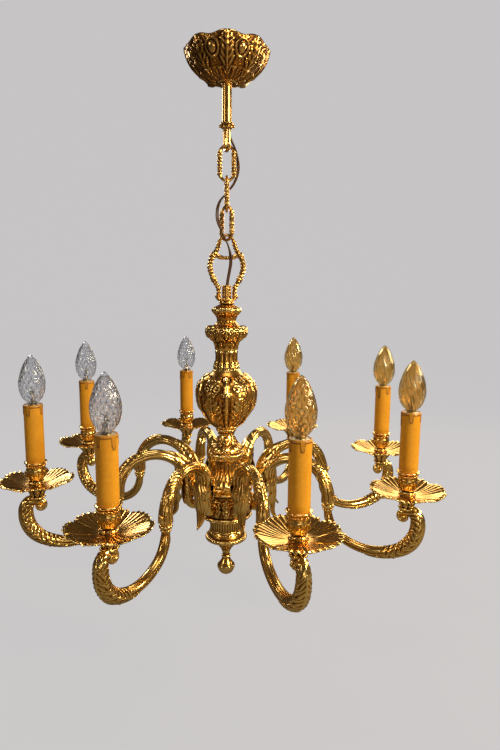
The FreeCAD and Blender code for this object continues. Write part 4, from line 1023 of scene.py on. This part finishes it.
def lampOutline(inset):
    return sampleOutline([(lamp["cap"] - inset, 0.3, 0), (lamp["cap"] + 0.9 - inset, 2.5, -0.16),
                          (lamp["belly"] - inset, 22, -0.13), (lamp["belly"] * 0.85 - inset, 45, -0.10),
                          (5.2 - inset * 0.6, 65, -0.25), (0.4, lamp["length"] - inset, 0)], 0.9)


def glassPart(twisted):
    outer, inner = lampOutline(0), lampOutline(lamp["wall"])[::3]
    ring = np.arange(lamp["steps"])
    angle = (ring / lamp["steps"] * 2 * math.pi)[None, :]
    height = outer[:, 1:2] / lamp["length"]
    fade = band(height, 0.08, 0.93, 0.05)
    lean = lamp["cuts"] * angle
    swing = height * lamp["twist"] * 2 * math.pi
    rightCut = 1 - np.abs(np.cos(lean + swing * 0.6))
    leftCut = 1 - np.abs(np.cos(lean - swing))
    cut = rightCut * 1.2 if twisted else np.maximum(1 - np.abs(np.cos(lean + swing)), leftCut)
    radius = outer[:, 0:1] + lamp["cutDepth"] * (fade * cut - 0.6)
    part = gridPart(around(radius, angle, outer[:, 1:2]), capEnd=True)
    hollow = gridPart(around((inner[:, 0:1] - 0.5).clip(0.2), angle, inner[:, 1:2]), capEnd=True)
    hollow["quads"], hollow["triangles"] = hollow["quads"][:, ::-1], hollow["triangles"][:, ::-1]
    base = len(part["verts"])
    seam = np.stack([ring, ring + base, np.roll(ring, -1) + base, np.roll(ring, -1)], 1)
    whole = joined([part, hollow])
    return {**whole, "quads": np.vstack([whole["quads"], seam])}


def threadOrnament(angle, level):
    return band(level, -20, -3, 0.6) * 0.42 * np.cos(2 * math.pi * level / 2.82 - angle)


def basePart():
    cap = turnedPart([(6.5, -0.2, 0), (6.5, -21, 0), (3.2, -23.6, 0), (3.0, -24.8, 0), (0.1, -25, 0)], 0,
                     threadOrnament,
                     48, 0.5)
    stem = turnedPart([(0.9, 23, 0), (2.6, 12, 0), (4.8, 1, 0), (5.4, 0, 0)], 0, None, 24)
    share = np.linspace(-1, 1, 60)
    coil = np.stack([share * 7.5, 0.9 * np.sin(share * 40),
                     34 - 9 * share ** 2 + 0.9 * np.cos(share * 40)], 1)
    wire = sweepPart(coil, 0.22, 6)
    leads = [sweepPart([(way * 1.2, 0, 20), (way * 4.5, 0, 23), (way * 7.5, 0, 25.2)], 0.32, 8)
             for way in (-1, 1)]
    return cap, joined([stem, wire, *leads])


def buildLamps():
    cap, mount = basePart()
    skins = {True: glassPart(True), False: glassPart(False)}
    for number, turn in enumerate(turns, start=1):
        warm = number in lamp["warm"]
        shift = (arm["ring"], 0, panLevel + sleeve["top"])
        skin = skins[number in lamp["twisted"]]
        buildPiece(f"lampGlass_{number}", [moved(skin, turn, shift)], amberGlass if warm else clearGlass,
                   f"lamp_{number}", (f"lamp_{number}",))
        buildPiece(f"lampCap_{number}", [moved(cap, turn, shift)], capBrass, f"lamp_{number}")
        buildPiece(f"lampMount_{number}", [moved(mount, turn, shift)], filamentWire, f"lamp_{number}")


buildLamps()
print("stage: candles and lamps")

# The canopy: a bowl with eight framed ovals between leafy ribs, and a scalloped rim.
canopy = {"panels": 8, "ovalLevel": -20.0, "ovalTall": 11.0, "ovalWide": 9.0, "radius": 50.0, "steps": 240}


def canopyOrnament(angle, level):
    place = (angle - front) * canopy["panels"] / (2 * math.pi) + 0.5
    across = (place - np.round(place)) * 2 * math.pi / canopy["panels"] * canopy["radius"]
    reach = np.hypot(across / canopy["ovalWide"], (level - canopy["ovalLevel"]) / canopy["ovalTall"])
    oval = 2.6 * np.sqrt(np.clip(1 - (reach / 0.62) ** 2, 0, 1))
    frameRing = 1.7 * np.exp(-((reach - 0.92) / 0.13) ** 2)
    beaded = 0.6 * np.exp(-((reach - 1.2) / 0.10) ** 2) * (0.5 + 0.5 * np.cos(
        16 * np.arctan2(level - canopy["ovalLevel"], across)))
    outside = ramp(reach, 1.25, 1.4)
    leaf = outside * 2.2 * panelLeaves(angle, level, 8, -45, -1, 6, 0.0, 0.62)
    seam = 1.2 * ribs(angle, 8, 0.035) * band(level, -42, -2, 2)
    curls = outside * band(level, -16, -2, 2) * 1.2 * scrolls(angle, level, 8, -7, 5, 55, 0.5)
    foot = (band(level, -49, -39, 1)
            * (0.9 * gadroons(angle, 24) + 1.0 * panelLeaves(angle, level, 12, -50, -36, 2)))
    return oval + frameRing + beaded + leaf + seam + curls + foot


def turnedShell(outline, outerCount, ornament):
    # a thin turned shell: only the first corners, which are its outside, carry the ornament
    steps = canopy["steps"]
    outside = raisedSkin(sampleOutline(outline[:outerCount], 0.8), ornament, steps)
    inside = sampleOutline(outline[outerCount - 1:], 2.0)[1:]
    angle = np.arange(steps) / steps * 2 * math.pi
    back = around(inside[:, 0:1], angle[None, :], inside[:, 1:2])
    return gridPart(np.concatenate([outside, back]), wrapRows=True, wear=0.9)


def buildCanopy():
    top = topOf("canopy")
    foot = footOf("canopy") - top
    outline = [(58.4, -0.4, 0), (59.2, -2.2, 0.35), (15.6, foot + 1.8, 0), (14.0, foot, 0), (7.3, foot, 0),
               (7.3, foot + 7, 0), (13, foot + 7.5, -0.35), (56.2, -0.4, 0)]
    shell = turnedShell(outline, 3, canopyOrnament)
    angle = np.arctan2(shell["verts"][:, 1], shell["verts"][:, 0])
    reach = np.hypot(shell["verts"][:, 0], shell["verts"][:, 1])
    scallop = 0.5 - 0.5 * np.cos((angle - front) * canopy["panels"])
    shell["verts"][:, 2] -= 4.2 * scallop ** 1.5 * ramp(reach, 50, 58) * ramp(shell["verts"][:, 2], -9, 0)
    parts = [moved(shell, 0, (0, 0, top))]
    parts.append(moved(studRing(28, 15.6, foot + 3.2, 1.3), 0, (0, 0, top)))
    buildPiece("canopyCast", parts, darkBrass, "canopy", ("canopy",))


buildCanopy()

# The chain: an eye under a collar, three leafy links, and the bow.
chain = {"wire": 2.5, "halfWidth": 10.5, "eyeWire": 3.0, "eyeHalf": 8.0, "eyeTurn": 110,
         "linkTurns": (0, 90, 135)}


def ovalPoints(halfWidth, low, high, pitch=0.7):
    # the centre line of a link: straight sides and round ends, in the XZ plane
    sides = (arcPoints(0, high - halfWidth, halfWidth, 0, 180, pitch),
             arcPoints(0, low + halfWidth, halfWidth, 180, 360, pitch))
    tall = high - low - 2 * halfWidth
    count = max(2, int(tall / pitch))
    left = np.stack([np.full(count, -halfWidth),
                     np.linspace(high - halfWidth, low + halfWidth, count, endpoint=False)], 1)
    right = np.stack([np.full(count, halfWidth),
                      np.linspace(low + halfWidth, high - halfWidth, count, endpoint=False)], 1)
    flat = np.vstack([sides[0], left, sides[1], right])
    return np.stack([flat[:, 0], 0 * flat[:, 0], flat[:, 1]], 1)


def linkPart(halfWidth, low, high, wire):
    points = ovalPoints(halfWidth, low, high)
    middle = (low + high) / 2
    side = 1 - ramp(np.abs(points[:, 2] - middle), (high - low) * 0.30, (high - low) * 0.42)
    station = lengthsOf(points)[:, None]

    def leafy(share, angle):
        notch = 0.5 + 0.5 * np.cos(2 * math.pi * (station / 4.6 - np.abs(np.sin(angle / 2)) * 0.5))
        twist = np.abs(np.cos(angle * 2 + station * 0.35))
        return side[:, None] * (1.0 * notch + 0.7 * twist) - 0.30 * (1 - side[:, None])

    skin = sweepPart(points, wire + 0 * points[:, 0], 22, 1.0, leafy, closed=True)
    beads = [ballPart((way * halfWidth, 0, middle), (3.7, 3.5, 3.2), 20) for way in (-1, 1)]
    return [skin, *beads]


def buildChain():
    for number, turn in enumerate(chain["linkTurns"], start=1):
        node = f"link_{number}"
        parts = linkPart(chain["halfWidth"], footOf(node) + chain["wire"], topOf(node) - chain["wire"],
                         chain["wire"])
        buildPiece(f"linkCast_{number}", [moved(part, math.radians(turn)) for part in parts], darkBrass,
                   node, (node,))
    low, high = footOf("suspension_eye"), topOf("suspension_eye")
    eyeLine = ovalPoints(chain["eyeHalf"], low + chain["eyeWire"], high - 5)
    eye = sweepPart(eyeLine, chain["eyeWire"] + 0 * eyeLine[:, 0], 24, 1.0, None, closed=True)
    collar = turnedPart([(7.4, high, 0), (9.2, high - 1, 0.4), (9.2, high - 3.2, 0), (8.2, high - 4, 0),
                         (8.6, high - 7.4, 0.3),
                         (6.2, high - 9, 0), (4.6, high - 10, 0)], 3.2, None, 64)
    beads = [ballPart((way * 9.6, 0, high - 5.6), (2.3, 2.3, 2.3), 18) for way in (-1, 1)]
    turned = [moved(part, math.radians(chain["eyeTurn"])) for part in (eye, collar)]
    buildPiece("suspensionEyeCast", turned + beads, darkBrass, "ceiling", ("suspension_eye",))


buildChain()

# The bow: two leafy scrolls from a narrow neck to a base ring, with a curved crossbar, knots and ball feet.
bow = {"wire": 3.0, "neck": 30.0, "width": 52.0, "foot": 23.0, "barLevel": 33.0}


def buildBow():
    top, foot = topOf("hanging_bow") - bow["wire"], footOf("hanging_bow")
    bar = bow["barLevel"]
    half = [(bow["neck"] * 0.27, 0), (bow["neck"] * 0.47, -bar * 0.7), (bow["width"] * 0.44, -bar),
            (bow["width"] * 0.5, -bar * 1.5), (bow["width"] * 0.36, -bar * 2.05),
            (bow["foot"] / 2, -bar * 2.4),
            (bow["foot"] / 2, foot - top + 1.5)]
    whole = [(-across, up) for across, up in reversed(half)] + half
    flat = smoothLine(whole)
    lengths = lengthsOf(flat)
    even = np.arange(0, lengths[-1], 0.7)
    flat = alongLine(even, lengths, flat)
    points = np.stack([flat[:, 0], 0 * even, flat[:, 1] + top], 1)
    depth = -flat[:, 1]
    free = ramp(depth, 6, 12)
    knots = sum(np.exp(-((depth - place) / 3.6) ** 2) * size
                for place, size in ((bar * 0.92, 1.9), (bar * 1.98, 1.6)))
    belly = 0.9 * np.exp(-((depth - bar * 1.45) / 13) ** 2)

    def leafy(share, angle):
        notch = 0.5 + 0.5 * np.cos(2 * math.pi * (even[:, None] / 5.2 - np.abs(np.sin(angle / 2)) * 0.6))
        return free[:, None] * (1.1 * notch + 0.7 * np.abs(np.cos(angle * 2.5))) - 0.35

    body = sweepPart(points, 2.7 + free * (knots + belly) * 0.8, 24, 1.15, leafy)
    end = bow["neck"] * 0.62
    barLine = smoothLine([(-end, 0, top - bar * 0.84), (-end * 0.5, 0, top - bar * 1.02),
                          (end * 0.5, 0, top - bar * 1.02),
                          (end, 0, top - bar * 0.84)])
    cross = sweepPart(barLine, 2.9 + 0.6 * np.cos(np.linspace(0, 6 * math.pi, len(barLine))), 18, 1.1)
    base = turnedPart([(9.5, foot + 3.6, 0), (12.6, foot + 3.0, 0.5), (12.8, foot + 0.8, 0),
                       (11.6, foot, 0)], 4.1,
                      lambda angle, level: 0.5 * gadroons(angle, 20), 80)
    feet = [ballPart((way * (bow["foot"] / 2 + 2.2), 0, foot + 6.8), (3.9, 3.9, 3.9), 24)
            for way in (-1, 1)]
    curls = [ballPart((way * (bow["foot"] / 2 + 0.5), 0, foot + 21), (3.4, 3.9, 3.4), 20)
             for way in (-1, 1)]
    drop = ballPart((0, 0, top - bar * 1.02), (3.4, 3.2, 3.0), 20)
    buildPiece("hangingBowCast", [body, cross, base, drop, *feet, *curls], darkBrass, "fixture",
               ("hanging_bow",))
    low, high = footOf("bow_cup"), topOf("bow_cup")
    skin = turnedPart([(5.6, high, 0), (7.2, high - 0.5, 0.6), (7.2, high - 2.4, 0), (6.2, high - 3, 0),
                       (6.2, low + 3, 0),
                       (7.2, low + 2, 0.3), (7.2, low, 0)], 4.1,
                      lambda angle, level: band(level, low + 3, high - 3.4, 0.5) * 0.75
                      * gadroons(angle, 10), 60)
    rows = [moved(studRing(10, 6.4, low + 4.5 + 1.9 * step, 0.95, facets=7), 0.314) for step in range(7)]
    buildPiece("bowCupCast", [skin, *rows], darkBrass, "fixture", ("bow_cup",))


buildBow()

# The canopy's grip screw, with a slotted head.
def buildGripScrew():
    low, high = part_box("canopy_grip_screw")
    centre = [(a + b) / 2 / mm for a, b in zip(low, high)]
    outer, inner = high[1] / mm, low[1] / mm
    reach = [(inner, 1.9), (outer - 1.8, 1.9), (outer - 1.8, 3.2), (outer - 0.5, 3.2), (outer, 2.6),
             (outer, 0.4)]
    angle = np.arange(40) / 40 * 2 * math.pi
    rows = [np.stack([centre[0] + size * np.cos(angle), np.full(40, place),
                      centre[2] + size * np.sin(angle)], -1)
            for place, size in reach]
    grid = np.array(rows)
    slot = np.abs(grid[-1, :, 0] - centre[0]) < 0.45
    grid[-1, slot, 1] -= 0.6
    buildPiece("gripScrewSteel", [gridPart(grid, capStart=True, capEnd=True)], zincSteel, "canopy",
               ("canopy_grip_screw",))


buildGripScrew()
print("stage: canopy, chain and bow")

# The flex: one route from the stem to the tie rod, in four stretches split after three of its points.
flex = {"width": 0.0048, "core": 0.00135, "cuts": (4, 7, 9), "steps": 20,
        "lengths": (0.0850, 0.0562, 0.0402, 0.1002)}
flexRoute = [
    (0, 0, -0.097), (0, 0, -0.113), (0.006, 0.003, -0.127), (0.015, 0.005, -0.145), (0.018, 0.006, -0.168),
    (0.012, 0.014, -0.187), (0, 0.0185, -0.200), (-0.011, 0.014, -0.213), (-0.015, 0.003, -0.230),
    (-0.0135, -0.007, -0.247), (-0.005, -0.012, -0.265), (0.004, -0.013, -0.284), (0.007, -0.010, -0.303),
    (0.004, -0.005, -0.320), (0.001, -0.001, -0.335), (0, 0, -0.351),
]


def flexLine():
    curve = bpy.data.curves.new("flexRoute", "CURVE")
    curve.dimensions = "3D"
    spline = curve.splines.new("NURBS")
    spline.points.add(len(flexRoute) - 1)
    for point, place in zip(spline.points, flexRoute):
        point.co = (*place, 1)
    spline.order_u = 3
    spline.use_endpoint_u = True
    spline.resolution_u = 12
    holder = bpy.data.objects.new("flexRoute", curve)
    bpy.context.scene.collection.objects.link(holder)
    mesh = bpy.data.meshes.new_from_object(holder.evaluated_get(bpy.context.evaluated_depsgraph_get()))
    points = [Vector(vertex.co) for vertex in mesh.vertices]
    bpy.data.objects.remove(holder)
    bpy.data.meshes.remove(mesh)
    return points


def flexSeams(points):
    # each seam is where the line passes the middle of the run after a cut point
    seams = [0]
    for cut in flex["cuts"]:
        middle = (Vector(flexRoute[cut]) + Vector(flexRoute[cut + 1])) / 2
        seams.append(min(range(len(points)), key=lambda index: (points[index] - middle).length))
    return seams + [len(points) - 1]


def buildFlex():
    points = flexLine()
    seams = flexSeams(points)
    place = np.array(points)
    heading = unit(np.gradient(place, axis=0))
    across = np.cross(heading, (0, 0, 1.0))
    across[:3], across[-3:] = (1.0, 0, 0), (1.0, 0, 0)
    across = unit(across)
    for _ in range(30):
        across[1:-1] = (across[:-2] + across[1:-1] * 2 + across[2:]) / 4
        across = unit(across)
    outward = np.cross(heading, across)
    angle = np.arange(flex["steps"]) / flex["steps"] * 2 * math.pi
    # two cores side by side, with a waist between them
    reach = flex["core"] * (1.0 + 0.10 * np.abs(np.cos(angle)))
    wide = (flex["width"] / 2 - flex["core"]) * np.tanh(np.cos(angle) * 3) + reach * np.cos(angle)
    thin = reach * np.sin(angle) * (0.72 + 0.28 * np.abs(np.cos(angle)) ** 0.5)
    for number, (first, last) in enumerate(zip(seams, seams[1:]), start=1):
        rows = slice(first, last + 1)
        grid = (place[rows, None] + wide[None, :, None] * across[rows, None]
                + thin[None, :, None] * outward[rows, None])
        piece = buildPiece(f"flexCord_{number}",
                           [gridPart(grid / mm, capStart=True, capEnd=True)], flexBrown,
                           None, (f"flex_{number}",))
        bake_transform(piece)


buildFlex()
print("stage: flex")

# CAD nodes whose shape is right only get their finish.
finishes = {
    "stem_tube": stemBrass, "ceiling_bracket": zincSteel, "bracket_nuts": zincSteel, "tie_rod": zincSteel,
    "tie_rod_nuts": zincSteel, "arm_nuts": zincSteel, "lamp_nipples": zincSteel,
    "terminal_block": creamPlastic,
    "wire_connectors": creamPlastic, "lampholders": creamPlastic, "arm_wires": flexBrown,
}


def finishNodes():
    for node, material in finishes.items():
        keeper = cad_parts.get(node)
        piece = keeper if isinstance(keeper, bpy.types.Object) else bpy.data.objects.get(node)
        if piece is None:
            continue
        for slot in piece.material_slots:
            slot.material = material
        if not piece.material_slots:
            piece.data.materials.append(material)


finishNodes()

# The floor, its backdrop and the lamps of the studio.
studio = {"glow": 0.975, "glassGlow": 0.72, "floor": -0.868, "half": 4.5, "front": -2.2, "back": 5.0,
          "rise": 4.5, "bend": 1.5,
          "seen": (0.578, 0.565, 0.571), "shade": (0.04, 0.04, 0.04), "paper": (0.20, 0.19, 0.175),
          "room": (0.075, 0.055, 0.038)}


def makePaper():
    # pale and even to look at, and darker where the metal mirrors it
    material, tree, shader = newMaterial("studioPaper")
    shader.inputs["Roughness"].default_value = 0.9
    shader.inputs["Specular IOR Level"].default_value = 0.0
    shader.inputs["Emission Color"].default_value = (*studio["seen"], 1)
    path = tree.nodes.new("ShaderNodeLightPath")
    seen = mathOf(tree, "MAXIMUM", path.outputs["Is Camera Ray"],
                  mathOf(tree, "MULTIPLY", path.outputs["Is Transmission Ray"], studio["glassGlow"]))
    tree.links.new(mixOf(tree, seen, studio["paper"], studio["shade"]), shader.inputs["Base Color"])
    glow = mathOf(tree, "MULTIPLY", seen, studio["glow"])
    tree.links.new(glow, shader.inputs["Emission Strength"])
    return material


def addStudio():
    turn = studio["back"] - studio["bend"]
    rows = [(studio["front"], 0.0), (turn, 0.0)]
    rows += [(turn + studio["bend"] * math.sin(angle), studio["bend"] * (1 - math.cos(angle)))
             for angle in np.radians(np.arange(10, 91, 10))]
    rows.append((studio["back"], studio["rise"]))
    verts = [(way * studio["half"], place, studio["floor"] + up) for place, up in rows for way in (-1, 1)]
    faces = [(2 * row, 2 * row + 1, 2 * row + 3, 2 * row + 2) for row in range(len(rows) - 1)]
    mesh = bpy.data.meshes.new("studioFloor")
    mesh.from_pydata(verts, [], faces)
    mesh.shade_smooth()
    mesh.materials.append(makePaper())
    floor = bpy.data.objects.new("studioFloor", mesh)
    bpy.context.scene.collection.objects.link(floor)


def addLight(name, place, target, size, power, colour, seen=True):
    # a seen light shows through the glass, and none shows to the camera itself
    data = bpy.data.lights.new(name, "AREA")
    data.shape = "RECTANGLE"
    data.size, data.size_y = size
    data.energy = power
    data.color = colour
    light = bpy.data.objects.new(name, data)
    ahead = Vector(target) - Vector(place)
    light.rotation_euler = ahead.to_track_quat("-Z", "Y").to_euler()
    light.location = place
    light.visible_camera = False
    light.visible_transmission = seen
    bpy.context.scene.collection.objects.link(light)


addStudio()
addLight("keyRight", (1.3, -1.1, 0.35), (0, 0, -0.5), (0.22, 0.5), 17, (1.0, 0.83, 0.60))
addLight("sideRight", (1.6, 0.5, 0.0), (0, 0, -0.5), (0.2, 0.6), 10, (1.0, 0.80, 0.55))
addLight("fillLeft", (-1.5, -0.9, 0.2), (0, 0, -0.5), (0.25, 0.5), 3.5, (1.0, 0.92, 0.80))
addLight("topSoft", (0.1, -0.5, 1.2), (0, 0, -0.5), (0.9, 0.5), 7.5, (1.0, 0.90, 0.76))
addLight("frontLow", (0.2, -1.9, -0.5), (0, 0, -0.6), (1.0, 0.25), 2.5, (1.0, 0.86, 0.66))
addLight("backRim", (-1.0, 1.3, 0.3), (0, 0, -0.45), (0.3, 0.4), 6, (1.0, 0.93, 0.84))
addLight("nearRight", (0.95, -0.75, -0.05), (0.26, -0.1, -0.52), (0.2, 0.4), 8, (1.0, 0.86, 0.50))
addLight("dishGlow", (0.72, 1.3, 0.0), (0.2, -0.2, -0.6), (0.95, 0.6), 9, (1.0, 0.84, 0.55), False)


def addWorld():
    # a dim warm room to the metal, and the paper's own tone to the camera
    world = bpy.data.worlds.new("studioWorld")
    world.use_nodes = True
    tree = world.node_tree
    path = tree.nodes.new("ShaderNodeLightPath")
    sky = mixOf(tree, path.outputs["Is Camera Ray"], studio["room"], studio["seen"])
    tree.links.new(sky, tree.nodes["Background"].inputs["Color"])
    bpy.context.scene.world = world


addWorld()
bpy.context.scene.view_settings.view_transform = "Standard"
print("stage: studio")
